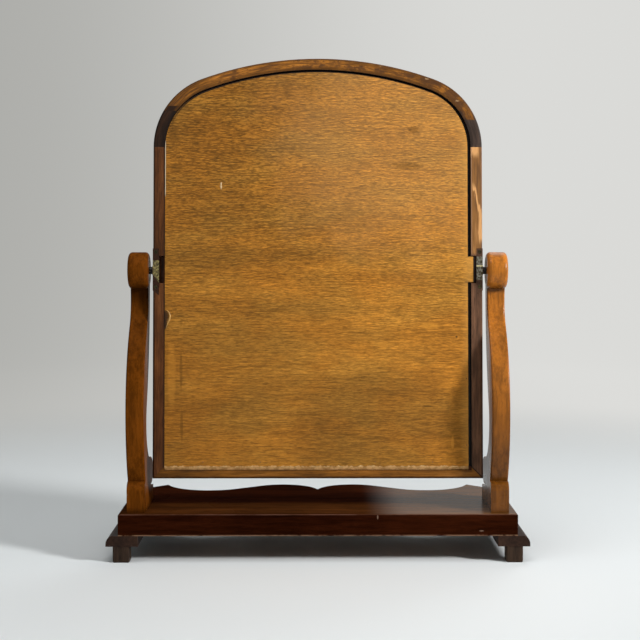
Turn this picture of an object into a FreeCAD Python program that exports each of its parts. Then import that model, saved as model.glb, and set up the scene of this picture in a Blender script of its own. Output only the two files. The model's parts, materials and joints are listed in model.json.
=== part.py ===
import FreeCAD, Part
import math
import os
import re
import Sketcher

# Swing mirror for a dressing table: an arched frame that turns between two S-scroll supports on a
# serpentine-fronted platform. Millimetres. +Z is up, the glass faces -Y, +X is on the viewer's right.
# The origin lies on the floor under the middle of the whole. "Setback" is measured forward from the
# platform's back edge, and heights on the supports are measured up from the platform's top.

Vector = FreeCAD.Vector

SIZES = (
    ("platform_width", 560, "platform board from side to side"),
    ("platform_depth", 241, "platform board from the back edge to the front lobes"),
    ("platform_thick", 30.5, "platform board"),
    ("platform_side", 195, "straight part of each side, from the back edge"),
    ("platform_edge", 2, "rounding of the platform's top edge"),
    ("cusp_round", 2.5, "rounding of the two outer cusps of the front"),
    ("cusp_spread", 464, "distance between the two outer cusps of the front"),
    ("bay_offset", 166, "lowest point of each hollow bay, from the middle"),
    ("bay_depth", 51, "depth of each bay behind the cusps"),
    ("lobe_offset", 54, "peak of each lobe, from the middle"),
    ("notch_depth", 41, "depth of the middle cusp behind the lobes"),
    ("rail_proud", 17.5, "side rail outside the platform's side"),
    ("rail_lap", 27.5, "side rail under the platform"),
    ("rail_height", 15, "side rail"),
    ("rail_length", 215, "side rail"),
    ("ovolo_width", 8, "moulding on the rail's outer and front edges"),
    ("ovolo_height", 12, "moulding on the rail's outer and front edges"),
    ("ovolo_radius", 12.5, "moulding on the rail's outer and front edges"),
    ("foot_size", 23.5, "side of each square block foot"),
    ("foot_height", 23, "block foot"),
    ("foot_inset_side", 9.7, "foot behind the rail's outer edge"),
    ("foot_inset_end", 1, "foot behind the rail's end"),
    ("foot_edge", 1.2, "chamfer under each foot"),
    ("foot_round", 2.5, "rounding of each foot's corners"),
    ("support_inset", 11.1, "support's outer face inside the platform's side"),
    ("support_thick", 25.4, "support from inner to outer face"),
    ("support_edge", 2.2, "rounding of the support's curved arrises"),
    ("heel_setback", 12, "back face of the support's foot"),
    ("heel_height", 31, "top of the flat back of the support's heel"),
    ("heel_round", 13, "bead on top of the support's heel"),
    ("crease_height", 42.5, "crease above the heel"),
    ("toe_setback", 120, "front face of the support's foot"),
    ("toe_height", 22, "top of the support's toe"),
    ("slit_setback", 88, "inner end of the slit over the toe"),
    ("slit_height", 24, "lower side of that slit at its inner end"),
    ("slit_width", 5, "slit between toe and volute at its inner end"),
    ("volute_setback", 99, "centre of the lower volute"),
    ("volute_height", 46, "centre of the lower volute"),
    ("volute_radius", 20, "lower volute"),
    ("waist_setback", 42, "hollow of the front outline"),
    ("waist_radius", 54, "hollow of the front outline"),
    ("sweep_radius", 400, "long front sweep up to the scroll"),
    ("scroll_radius", 25.5, "scroll at the support's top"),
    ("boss_proud", 1.8, "turned boss on the scroll outside the support's faces"),
    ("boss_lip", 0.8, "boss outside the scroll's outline"),
    ("boss_edge", 5.5, "rounding of the boss"),
    ("neck_setback", 75, "hollow of the back outline under the scroll"),
    ("neck_drop", 39, "hollow of the back outline below the swing axis"),
    ("neck_radius", 55, "hollow of the back outline under the scroll"),
    ("belly_setback", 4, "rearmost point of the back outline"),
    ("belly_radius", 189, "swell of the back outline"),
    ("tenon_length", 60, "tenon under the support, front to back"),
    ("tenon_thick", 12, "tenon under the support"),
    ("tenon_depth", 18, "tenon under the support"),
    ("tenon_clearance", 0.2, "between tenon and mortise"),
    ("pivot_setback", 74.5, "swing axis"),
    ("pivot_height", 339, "swing axis"),
    ("plate_height", 38, "pivot plate let into the scroll"),
    ("plate_width", 14, "pivot plate"),
    ("plate_thick", 2.2, "pivot plate"),
    ("plate_screw_spread", 26, "between the two screws of a pivot plate"),
    ("shank_radius", 4, "pivot stud inside the scroll"),
    ("shank_length", 18, "pivot stud inside the scroll"),
    ("collar_radius", 5.25, "pivot stud between scroll and frame"),
    ("spigot_radius", 3.5, "pivot stud inside the socket"),
    ("spigot_reach", 4, "spigot past the socket's eye"),
    ("running_clearance", 0.06, "spigot in its eye, on the radius"),
    ("side_clearance", 0.35, "washer to collar"),
    ("washer_thick", 1.1, "leather washer"),
    ("washer_radius", 7, "leather washer"),
    ("washer_clearance", 0.3, "washer around the spigot, on the radius"),
    ("eye_proud", 0.4, "socket's eye outside the frame's edge"),
    ("eye_thick", 2.5, "socket's eye"),
    ("eye_radius", 6.5, "rounded end of the socket's eye"),
    ("socket_width", 9, "socket's strip on the frame's back"),
    ("socket_thick", 2, "socket's strip"),
    ("socket_above", 31, "socket's strip above the axis"),
    ("socket_below", 36, "socket's strip below the axis"),
    ("socket_slant", 7, "slant of the strip's lower end"),
    ("socket_screw_inset", 5, "strip's screws from its ends"),
    ("pocket_above", 20.5, "notch in the stile above the axis"),
    ("pocket_below", 18.5, "notch in the stile below the axis"),
    ("pocket_clearance", 0.7, "notch around the eye"),
    ("swing_gap", 8, "between the mirror frame and each support"),
    ("rest_tilt", 5.3, "lean of the mirror at rest, its lower edge to the back"),
    ("mirror_height", 601.6, "mirror frame"),
    ("mirror_drop", 297, "frame's lower edge below the swing axis"),
    ("arch_rise", 128, "arch above its springing"),
    ("shoulder_radius", 105, "outer radius of the arch's shoulders"),
    ("crown_joint_rise", 52, "joint between shoulder and crown above the springing"),
    ("frame_thick", 28, "frame from front to back"),
    ("pivot_depth", 9, "swing axis in front of the frame's back"),
    ("board_land", 16.5, "frame's back outside the board"),
    ("board_ledge", 9, "ledge that the board lies on"),
    ("glass_ledge", 5.5, "lip in front of the glass"),
    ("rail_rebate_extra", 5, "extra width of the bottom rail's rebate"),
    ("arris_radius", 3, "frame's outer back edge"),
    ("cushion_crest", 12, "highest line of the front moulding from the outer edge"),
    ("cushion_drop", 11, "fall of the moulding to the outer edge"),
    ("slip_width", 4.5, "flat slip at the sight edge"),
    ("slip_drop", 5, "fall of the moulding to the slip"),
    ("slip_step", 1.5, "step from moulding to slip"),
    ("board_thick", 6.5, "back board"),
    ("board_inset", 0.5, "back board behind the frame's back"),
    ("board_gap_tight", 0.5, "board to frame at +X and below"),
    ("board_gap_loose", 4.5, "board to frame at -X"),
    ("tongue_clearance", 1.4, "board's tongue in the notch at -X"),
    ("board_bevel_width", 5.5, "bevel along the board's lower edge"),
    ("board_bevel_depth", 3, "bevel along the board's lower edge"),
    ("glass_thick", 4, "mirror plate"),
    ("glass_clearance", 1, "mirror plate in its rebate"),
    ("wedge_thick", 4, "wedge block between plate and board"),
    ("wedge_length", 38, "wedge block"),
    ("wedge_width", 12, "wedge block"),
    ("wedge_gap", 0.8, "wedge block to the rebate's wall"),
    ("dowel_radius", 3.5, "dowel in the frame's joints"),
    ("dowel_length", 22, "dowel in the frame's joints"),
    ("rail_screw_radius", 2.2, "screw through a rail"),
    ("rail_screw_head", 4.2, "screw through a rail"),
    ("rail_screw_length", 32, "screw through a rail"),
    ("rail_screw_inset", 8, "screw inside the platform's side"),
    ("rail_screw_end", 48, "outer screws from the rail's ends"),
    ("support_screw_radius", 2.6, "screw up into a support"),
    ("support_screw_head", 5, "screw up into a support"),
    ("support_screw_length", 50, "screw up into a support"),
    ("support_screw_spread", 82, "between the two screws of a support"),
    ("fitting_screw_radius", 1.4, "screws of the pivot fittings"),
    ("fitting_screw_head", 2.7, "screws of the pivot fittings"),
    ("fitting_screw_length", 11, "screws of the pivot fittings"),
    ("slot_width_share", 0.3, "slot of a screw over its head's radius"),
    ("slot_depth_share", 0.7, "slot of a screw over its countersink"),
    ("brad_radius", 0.9, "brad in the back board"),
    ("brad_length", 12, "brad in the back board"),
    ("brad_inset", 2.2, "brad from the ledge's inner edge"),
)

doc = FreeCAD.newDocument("dressing_table_mirror")
sheet = doc.addObject("Spreadsheet::Sheet", "sizes")
for row, (alias, number, note) in enumerate(SIZES, start=1):
    sheet.set(f"A{row}", alias)
    sheet.set(f"B{row}", str(number))
    sheet.setAlias(f"B{row}", alias)
    sheet.set(f"C{row}", note)
doc.recompute()


def cell(formula):
    """Formula over the sheet's aliases, with each alias written out as a cell of the sheet."""
    names = {alias for alias, number, note in SIZES}
    return re.sub(r"[a-z_]+", lambda word: ("sizes." if word[0] in names else "") + word[0], formula)


def value(formula):
    """Number that a formula over the sheet's aliases has now."""
    return float(sheet.evalExpression(cell(formula)))


def bind(thing, **formulas):
    """Tie properties to formulas; a double underscore in a name stands for a dot."""
    for name, formula in formulas.items():
        thing.setExpression(name.replace("__", "."), cell(formula))


def place(thing, x="0", y="0", z="0"):
    """Tie a thing's place to formulas."""
    bind(thing, Placement__Base__x=x, Placement__Base__y=y, Placement__Base__z=z)
    return thing


# Places that many pieces share, as formulas over the sheet.
RAIL_TOP = "( foot_height + rail_height )"
TOP = f"( {RAIL_TOP} + platform_thick )"
BACK = "( platform_depth / 2 )"
AXIS_Y = f"( {BACK} - pivot_setback )"
AXIS_Z = f"( {TOP} + pivot_height )"
RAIL_IN = "( platform_width / 2 - rail_lap )"
RAIL_OUT = "( platform_width / 2 + rail_proud )"
SUPPORT_IN = "( platform_width / 2 - support_inset - support_thick )"
SUPPORT_MID = f"( {SUPPORT_IN} + support_thick / 2 )"
SCROLL_IN = f"( {SUPPORT_IN} - boss_proud )"

# The frame's own coordinates start on the swing axis.
HALF = f"( {SUPPORT_IN} - swing_gap )"
BOTTOM = "( 0 - mirror_drop )"
SPRING = "( mirror_height - mirror_drop - arch_rise )"
CROWN_JOINT = f"( {SPRING} + crown_joint_rise )"
FACE = "( board_land + board_ledge + glass_ledge )"
GLASS_LAND = "( board_land + board_ledge )"
FRAME_BACK = "pivot_depth"
FRAME_FRONT = "( pivot_depth - frame_thick )"
LEDGE_Y = "( pivot_depth - board_inset - board_thick )"
GLASS_BACK = f"( {LEDGE_Y} - wedge_thick )"
LIP_Y = f"( {GLASS_BACK} - glass_thick )"
EYE_X = f"( {HALF} + eye_proud )"

# Three-centred arch: the crown's centre lies ARCH_C below the springing, and ARCH_K and ARCH_M are
# how far the shoulder's radius falls short of half the span and of the rise.
ARCH_K = f"( {HALF} - shoulder_radius )"
ARCH_M = "( arch_rise - shoulder_radius )"
ARCH_C = f"( ( {ARCH_K} ^ 2 - {ARCH_M} ^ 2 ) / ( 2 * {ARCH_M} ) )"
CROWN_RADIUS = f"( arch_rise + {ARCH_C} )"


def body(name):
    """New empty body."""
    return doc.addObject("PartDesign::Body", name)


def outline(owner, name, plane, corners, rounds=None, smooth=(), shift=None):
    """Closed sketch on one of the owner's planes.

    corners are pairs of formulas, which pin the corner, or numbers, which only start the solver.
    rounds gives, for the side that starts at a corner, its radius, its turn (1 left, -1 right) and
    its centre, whose formulas are pinned too. At a smooth corner the two sides are tangent.
    """
    rounds = rounds or {}
    sketch = owner.newObject("Sketcher::SketchObject", name)
    support = [part for part in owner.Origin.OriginFeatures if part.Role == plane]
    sketch.AttachmentSupport = [(support[0], "")]
    sketch.MapMode = "FlatFace"
    for axis, formula in (shift or {}).items():
        bind(sketch, **{"AttachmentOffset__Base__" + axis: formula})

    def now(entry):
        return value(entry) if isinstance(entry, str) else entry

    points = [Vector(now(x), now(y), 0) for x, y in corners]
    ends = []
    for side, start in enumerate(points):
        finish = points[(side + 1) % len(points)]
        if side not in rounds:
            sketch.addGeometry(Part.LineSegment(start, finish), False)
            ends.append((1, 2))
            continue
        radius, turn, centre = rounds[side]
        middle = arc_centre(start, finish, now(radius), turn)
        if centre:
            middle = Vector(now(centre[0]), now(centre[1]), 0)
        first, last = (start, finish) if turn > 0 else (finish, start)
        angles = [math.atan2(point.y - middle.y, point.x - middle.x) for point in (first, last)]
        circle = Part.Circle(middle, Vector(0, 0, 1), now(radius))
        sketch.addGeometry(Part.ArcOfCircle(circle, angles[0], angles[1]), False)
        ends.append((1, 2) if turn > 0 else (2, 1))

    pins = []
    for side in range(len(points)):
        before = side - 1 if side else len(points) - 1
        joint = "Tangent" if side in smooth else "Coincident"
        sketch.addConstraint(Sketcher.Constraint(joint, before, ends[before][1], side, ends[side][0]))
        for kind, entry in zip(("DistanceX", "DistanceY"), corners[side]):
            pins.append((kind, side, ends[side][0], entry))
    for side, (radius, turn, centre) in rounds.items():
        pins.append(("Radius", side, None, radius))
        for kind, entry in zip(("DistanceX", "DistanceY"), centre or ()):
            pins.append((kind, side, 3, entry))
    for kind, side, end, entry in pins:
        pin(sketch, kind, side, end, entry)
    return sketch


def arc_centre(start, finish, radius, turn):
    """Centre of the shorter arc between two points, on the left of the way for a left turn."""
    way = finish - start
    height = math.sqrt(max(radius ** 2 - way.Length ** 2 / 4, 0))
    left = Vector(-way.y, way.x, 0).normalize()
    return (start + finish) * 0.5 + left * (turn * height)


def pin(sketch, kind, side, end, entry):
    """Hold a radius or a point's distance from the sketch's axes at a formula; numbers stay free."""
    if not isinstance(entry, str):
        return
    if entry == "0" and kind != "Radius":
        axis = -2 if kind == "DistanceX" else -1
        sketch.addConstraint(Sketcher.Constraint("PointOnObject", side, end, axis))
        return
    if kind == "Radius":
        number = sketch.addConstraint(Sketcher.Constraint(kind, side, value(entry)))
    else:
        number = sketch.addConstraint(Sketcher.Constraint(kind, -1, 1, side, end, value(entry)))
    label = f"pin{number}"
    sketch.renameConstraint(number, label)
    sketch.setExpression("Constraints." + label, cell(entry))


def ring(owner, name, plane, x, y, radius, shift=None):
    """Circle sketch on one of the owner's planes."""
    sketch = owner.newObject("Sketcher::SketchObject", name)
    support = [part for part in owner.Origin.OriginFeatures if part.Role == plane]
    sketch.AttachmentSupport = [(support[0], "")]
    sketch.MapMode = "FlatFace"
    for axis, formula in (shift or {}).items():
        bind(sketch, **{"AttachmentOffset__Base__" + axis: formula})
    centre = Vector(value(x), value(y), 0)
    sketch.addGeometry(Part.Circle(centre, Vector(0, 0, 1), value(radius)), False)
    pin(sketch, "Radius", 0, None, radius)
    pin(sketch, "DistanceX", 0, 3, x)
    pin(sketch, "DistanceY", 0, 3, y)
    return sketch


def pad(owner, sketch, length, back=False):
    """Solid of a sketch along its normal, or the other way."""
    feature = owner.newObject("PartDesign::Pad", sketch.Name + "_pad")
    feature.Profile = sketch
    feature.Reversed = back
    bind(feature, Length=length)
    return feature


def cut(owner, sketch, length=None, back=False):
    """Pocket of a sketch against its normal, or the other way; without a length, right through."""
    doc.recompute()
    before = owner.Shape.Volume
    feature = owner.newObject("PartDesign::Pocket", sketch.Name + "_cut")
    feature.Profile = sketch
    feature.Reversed = back
    if length:
        bind(feature, Length=length)
    else:
        feature.SideType = "Symmetric"
        feature.Type = "ThroughAll"
    doc.recompute()
    if not owner.Shape.Volume < before - 1e-6:
        raise RuntimeError(sketch.Name + " cuts nothing")
    return feature


def turn(owner, sketch, axis, angle="360", back=False, both=False):
    """Solid of a sketch turned about one of its axes."""
    feature = owner.newObject("PartDesign::Revolution", sketch.Name + "_turn")
    feature.Profile = sketch
    feature.ReferenceAxis = (sketch, [axis])
    feature.Reversed = back
    feature.Midplane = both
    bind(feature, Angle=angle)
    return feature


def soften(owner, kind, amount, test):
    """Fillet or chamfer on the edges of the owner's shape that pass a test of their middle."""
    doc.recompute()
    base = owner.Tip
    picked = []
    for number, edge in enumerate(base.Shape.Edges, start=1):
        middle = edge.valueAt((edge.FirstParameter + edge.LastParameter) / 2)
        if test(edge, middle):
            picked.append(f"Edge{number}")
    feature = owner.newObject("PartDesign::" + kind, owner.Name + "_" + kind.lower())
    feature.Base = (base, picked)
    bind(feature, **{"Radius" if kind == "Fillet" else "Size": amount})
    doc.recompute()
    return feature


def block(name, x, y, z, length, width, height):
    """Box from its lowest corner."""
    box = doc.addObject("Part::Box", name)
    bind(box, Length=length, Width=width, Height=height)
    return place(box, x, y, z)


def rod(name, radius, length, x, y, z, way, aim=0):
    """Cylinder from its start along a way, turned on itself by an angle."""
    cylinder = doc.addObject("Part::Cylinder", name)
    bind(cylinder, Radius=radius, Height=length)
    turned = FreeCAD.Rotation(UP, way) * FreeCAD.Rotation(UP, aim)
    cylinder.Placement = FreeCAD.Placement(Vector(), turned)
    return place(cylinder, x, y, z)


def screw(name, size, x, y, z, way, aim):
    """Countersunk screw from the middle of its head along a way, without and with its slot.

    size names the screw's three cells, and aim turns the slot.
    """
    shank = rod(name + "_shank", size + "_radius", size + "_length", x, y, z, way, aim)
    head = doc.addObject("Part::Cone", name + "_head")
    depth = f"( {size}_head - {size}_radius )"
    bind(head, Radius1=size + "_head", Radius2=size + "_radius", Height=depth)
    head.Placement = shank.Placement
    place(head, x, y, z)
    whole = doc.addObject("Part::Fuse", name + "_room")
    whole.Base = shank
    whole.Tool = head
    slit = doc.addObject("Part::Wedge", name + "_slot")
    low, high = f"0 - {size}_head", f"{size}_head"
    floor = f"slot_depth_share * {depth}"
    half = f"slot_width_share * {size}_head / 2"
    bind(slit, Xmin=low, X2min=low, Xmax=high, X2max=high)
    bind(slit, Zmin="0", Z2min="0", Zmax=floor, Z2max=floor)
    bind(slit, Ymin=f"0 - {half}", Ymax=half)
    slit.Placement = shank.Placement
    place(slit, x, y, z)
    return whole, less(name, whole, slit)


def screw_group(name, screws):
    """Room that a group of screws takes in other pieces, and the screws themselves."""
    rooms = group(name + "_room", [room for room, made in screws])
    return rooms, group(name, [made for room, made in screws])


def group(name, things):
    """Several separate solids under one name."""
    compound = doc.addObject("Part::Compound", name)
    compound.Links = things
    return compound


def less(name, base, *tools):
    """A solid with others cut out of it."""
    for number, tool in enumerate(tools, start=1):
        step = doc.addObject("Part::Cut", name if number == len(tools) else f"{name}_step{number}")
        step.Base = base
        step.Tool = tool
        base = step
    return base


def mirrored(name, source):
    """Mirror image on the other side of the middle plane."""
    image = doc.addObject("Part::Mirroring", name)
    image.Source = source
    image.Normal = Vector(1, 0, 0)
    return image


UP = Vector(0, 0, 1)
OUT = Vector(1, 0, 0)
FORWARD = Vector(0, -1, 0)


def platform():
    """Board with straight back and sides, canted front corners and a front of two lobes and two bays."""
    owner = place(body("platform_blank"), y=BACK, z=RAIL_TOP)
    cusp = "( cusp_spread / 2 )"
    bay_radius = f"( ( ( {cusp} - bay_offset ) ^ 2 + bay_depth ^ 2 ) / ( 2 * bay_depth ) )"
    lobe_radius = "( ( lobe_offset ^ 2 + notch_depth ^ 2 ) / ( 2 * notch_depth ) )"
    bay = Vector(value("bay_offset"), value(f"bay_depth - platform_depth - {bay_radius}"), 0)
    lobe = Vector(value("lobe_offset"), value(f"{lobe_radius} - platform_depth"), 0)
    line_start, line_end = inner_tangent(bay, value(bay_radius), lobe, value(lobe_radius))
    corners = (
        ("0", "0"),
        ("0", "notch_depth - platform_depth"),
        (line_end.x, line_end.y),
        (line_start.x, line_start.y),
        (cusp, "0 - platform_depth"),
        ("platform_width / 2", "0 - platform_side"),
        ("platform_width / 2", "0"),
    )
    rounds = {
        1: (lobe_radius, 1, ("lobe_offset", lobe.y)),
        3: (bay_radius, -1, ("bay_offset", bay.y)),
    }
    half = outline(owner, "platform_half", "XY_Plane", corners, rounds, smooth=(2, 3))
    pad(owner, half, "platform_thick")
    doc.recompute()
    image = owner.newObject("PartDesign::Mirrored", "platform_whole")
    image.Originals = [owner.Tip]
    middle_plane = [part for part in owner.Origin.OriginFeatures if part.Role == "YZ_Plane"]
    image.MirrorPlane = (middle_plane[0], [""])
    owner.Tip = image
    top = value("platform_thick")
    tip = value(cusp)
    soften(
        owner, "Fillet", "cusp_round",
        lambda edge, middle: abs(abs(middle.x) - tip) < 1e-6 and abs(middle.z - top / 2) < 1e-6,
    )
    soften(owner, "Fillet", "platform_edge", lambda edge, middle: abs(middle.z - top) < 1e-6)
    return owner


def inner_tangent(first, first_radius, second, second_radius):
    """Ends of the line that touches two circles and passes between them, first on the first circle.

    The line leaves the first circle on its right as seen from the first towards the second.
    """
    way = second - first
    lean = math.acos((first_radius + second_radius) / way.Length)
    angle = math.atan2(way.y, way.x) - lean
    normal = Vector(math.cos(angle), math.sin(angle), 0)
    return first + normal * first_radius, second - normal * second_radius


def support_outline(owner):
    """Side view of a support: heel, belly, neck, scroll, long sweep, waist, volute and toe.

    All curves are arcs. Neighbours are tangent but for the crease over the heel, the corner under
    the scroll and the slit over the toe.
    """
    scroll = Vector(-value("pivot_setback"), value("pivot_height"), 0)
    volute = Vector(-value("volute_setback"), value("volute_height"), 0)
    scroll_r, volute_r = value("scroll_radius"), value("volute_radius")
    waist_r, sweep_r = value("waist_radius"), value("sweep_radius")
    neck_r, belly_r = value("neck_radius"), value("belly_radius")

    waist_x = -value("waist_setback + waist_radius")
    rise = math.sqrt((waist_r + volute_r) ** 2 - (waist_x - volute.x) ** 2)
    waist = Vector(waist_x, volute.y + rise, 0)
    sweep = meeting(scroll, sweep_r - scroll_r, waist, sweep_r + waist_r, 1)
    neck = Vector(value("neck_radius - neck_setback"), value("pivot_height - neck_drop"), 0)
    belly_x = -value("belly_setback + belly_radius")
    drop = math.sqrt((neck_r + belly_r) ** 2 - (belly_x - neck.x) ** 2)
    belly = Vector(belly_x, neck.y - drop, 0)

    under_scroll = meeting(scroll, scroll_r, neck, neck_r, -1)
    crease = value("crease_height")
    crease_x = belly.x + math.sqrt(belly_r ** 2 - (crease - belly.y) ** 2)
    slit_top = value("slit_height + slit_width")
    slit_x = volute.x + math.sqrt(max(volute_r ** 2 - (slit_top - volute.y) ** 2, 0))
    waist_volute = towards(waist, volute, waist_r)
    waist_sweep = towards(waist, sweep, waist_r)
    sweep_scroll = towards(sweep, scroll, sweep_r)
    belly_neck = towards(belly, neck, belly_r)
    corners = (
        ("0 - heel_setback", "0"),
        ("0 - heel_setback", "heel_height"),
        (crease_x, "crease_height"),
        (belly_neck.x, belly_neck.y),
        (under_scroll.x, under_scroll.y),
        (sweep_scroll.x, sweep_scroll.y),
        (waist_sweep.x, waist_sweep.y),
        (waist_volute.x, waist_volute.y),
        (slit_x, "slit_height + slit_width"),
        ("0 - slit_setback", "slit_height"),
        ("0 - toe_setback", "toe_height"),
        ("0 - toe_setback", "0"),
    )
    rounds = {
        1: ("heel_round", 1, None),
        2: ("belly_radius", 1, ("0 - belly_setback - belly_radius", belly.y)),
        3: ("neck_radius", -1, ("neck_radius - neck_setback", "pivot_height - neck_drop")),
        4: ("scroll_radius", 1, ("0 - pivot_setback", "pivot_height")),
        5: ("sweep_radius", 1, (sweep.x, sweep.y)),
        6: ("waist_radius", -1, ("0 - waist_setback - waist_radius", waist.y)),
        7: ("volute_radius", 1, ("0 - volute_setback", "volute_height")),
    }
    return outline(owner, "support_side", "YZ_Plane", corners, rounds, smooth=(3, 5, 6, 7))


def towards(start, goal, distance):
    """Point at a distance from the start, on the way to the goal."""
    return start + (goal - start).normalize() * distance


def meeting(first, first_radius, second, second_radius, side):
    """Meeting point of two circles, on the left (1) or right (-1) of the way from first to second."""
    way = second - first
    along = (first_radius ** 2 - second_radius ** 2 + way.Length ** 2) / (2 * way.Length)
    height = math.sqrt(max(first_radius ** 2 - along ** 2, 0))
    way.normalize()
    left = Vector(-way.y, way.x, 0)
    return first + way * along + left * (side * height)


def slot(owner, name, x, y, shift=None):
    """Upright slot with round ends, the pivot plate's outline, around a point of the YZ plane."""
    near_x, near_y = value(x), value(y)
    half = value("plate_width / 2")
    rise = value("( plate_height - plate_width ) / 2")
    corners = (
        (near_x + half, near_y - rise),
        (near_x + half, near_y + rise),
        (near_x - half, near_y + rise),
        (near_x - half, near_y - rise),
    )
    reach = "( plate_height - plate_width ) / 2"
    rounds = {
        1: ("plate_width / 2", 1, (x, f"{y} + {reach}")),
        3: ("plate_width / 2", 1, (x, f"{y} - {reach}")),
    }
    return outline(owner, name, "YZ_Plane", corners, rounds, smooth=(0, 1, 2, 3), shift=shift)


def rectangle(owner, name, plane, x_low, y_low, x_high, y_high, shift=None):
    """Rectangle between two corners."""
    corners = ((x_low, y_low), (x_high, y_low), (x_high, y_high), (x_low, y_high))
    return outline(owner, name, plane, corners, shift=shift)


def support():
    """S-scroll support on the +X side: boss on its scroll, tenon, the plate's recess and the stud's hole."""
    owner = place(body("support_blank"), SUPPORT_IN, BACK, TOP)
    pad(owner, support_outline(owner), "support_thick")
    soften(owner, "Fillet", "support_edge", round_arris)
    tenon_x = "( support_thick - tenon_thick ) / 2"
    middle = "( heel_setback + toe_setback ) / 2"
    tenon = rectangle(
        owner, "support_tenon", "XY_Plane",
        tenon_x, f"0 - {middle} - tenon_length / 2",
        f"{tenon_x} + tenon_thick", f"tenon_length / 2 - {middle}",
    )
    pad(owner, tenon, "tenon_depth", back=True)
    turn(owner, boss_profile(owner), "H_Axis")
    axis = ("0 - pivot_setback", "pivot_height")
    face = {"z": "0 - boss_proud"}
    recess = slot(owner, "plate_recess", *axis, shift=face)
    cut(owner, recess, "plate_thick", back=True)
    hole = ring(owner, "stud_hole", "YZ_Plane", *axis, "shank_radius", shift=face)
    cut(owner, hole, "shank_length", back=True)
    return owner


def boss_profile(owner):
    """Half section of the boss on the scroll, with both of its rims rounded."""
    inner, outer = "( 0 - boss_proud )", "( support_thick + boss_proud )"
    rim = "( scroll_radius + boss_lip )"
    corners = (
        (inner, "0"),
        (outer, "0"),
        (outer, f"{rim} - boss_edge"),
        (f"{outer} - boss_edge", rim),
        (f"{inner} + boss_edge", rim),
        (inner, f"{rim} - boss_edge"),
    )
    rounds = {2: ("boss_edge", 1, None), 4: ("boss_edge", 1, None)}
    shift = {"y": "0 - pivot_setback", "z": "pivot_height"}
    return outline(owner, "scroll_boss", "XY_Plane", corners, rounds, shift=shift)


def round_arris(edge, middle):
    """One edge of each smooth run of curves: the scroll's and the neck's; the rounding follows the run."""
    if not isinstance(edge.Curve, Part.Circle):
        return False
    leaders = (value("scroll_radius"), value("neck_radius"))
    return min(abs(edge.Curve.Radius - radius) for radius in leaders) < 1e-6


def side_rail():
    """Rail under the platform's +X side, moulded along its outer edge and its front end."""
    owner = place(body("rail_blank"), y=BACK, z="foot_height")
    corners = (
        (RAIL_IN, "0"),
        (RAIL_OUT, "0"),
        (RAIL_OUT, "rail_height - ovolo_height"),
        (f"{RAIL_OUT} - ovolo_width", "rail_height"),
        (RAIL_IN, "rail_height"),
    )
    section = outline(owner, "rail_section", "XZ_Plane", corners, {2: ("ovolo_radius", 1, None)})
    pad(owner, section, "rail_length")
    corners = (
        ("0 - rail_length", "rail_height - ovolo_height"),
        ("ovolo_width - rail_length", "rail_height"),
        ("0 - rail_length", "rail_height"),
    )
    end = outline(owner, "rail_front", "YZ_Plane", corners, {0: ("ovolo_radius", -1, None)})
    cut(owner, end)
    return owner


def foot(name, side, end):
    """Block foot under one end of a rail, with rounded corners and a chamfer where it meets the floor."""
    x = f"( {RAIL_OUT} - foot_inset_side - foot_size / 2 )"
    y = f"( {BACK} - foot_inset_end - foot_size / 2 )"
    if end == "front":
        y = f"( {BACK} - rail_length + foot_inset_end + foot_size / 2 )"
    owner = place(body(name), f"{side} * {x}", y)
    half = "foot_size / 2"
    square = rectangle(owner, name + "_square", "XY_Plane", f"0 - {half}", f"0 - {half}", half, half)
    pad(owner, square, "foot_height")
    tall = value("foot_height / 2")
    soften(owner, "Fillet", "foot_round", lambda edge, middle: abs(middle.z - tall) < 1e-6)
    soften(owner, "Chamfer", "foot_edge", lambda edge, middle: abs(middle.z) < 1e-6)
    return owner


def pivot_plate():
    """Plate let into the +X scroll's inner face, around the stud."""
    owner = place(body("plate_blank"), SCROLL_IN, AXIS_Y, AXIS_Z)
    pad(owner, slot(owner, "plate_slot", "0", "0"), "plate_thick")
    hole = ring(owner, "plate_hole", "YZ_Plane", "0", "0", "shank_radius")
    cut(owner, hole, "plate_thick", back=True)
    return owner


def pivot_stud():
    """Stud turned about the swing axis: shank in the +X scroll, collar in the gap, spigot in the socket."""
    owner = place(body("pivot_stud_right"), y=AXIS_Y, z=AXIS_Z)
    tip = f"{EYE_X} - eye_thick - spigot_reach"
    shoulder = f"{EYE_X} + washer_thick + side_clearance"
    end = f"{SCROLL_IN} + shank_length"
    corners = (
        (tip, "0"),
        (end, "0"),
        (end, "shank_radius"),
        (SCROLL_IN, "shank_radius"),
        (SCROLL_IN, "collar_radius"),
        (shoulder, "collar_radius"),
        (shoulder, "spigot_radius"),
        (tip, "spigot_radius"),
    )
    turn(owner, outline(owner, "stud_profile", "XY_Plane", corners), "H_Axis")
    return owner


def friction_washer():
    """Leather ring between the +X stud's collar and the socket's eye."""
    owner = place(body("friction_washer_right"), y=AXIS_Y, z=AXIS_Z)
    profile = rectangle(
        owner, "washer_profile", "XY_Plane",
        EYE_X, "spigot_radius + washer_clearance", f"{EYE_X} + washer_thick", "washer_radius",
    )
    turn(owner, profile, "H_Axis")
    return owner


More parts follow.
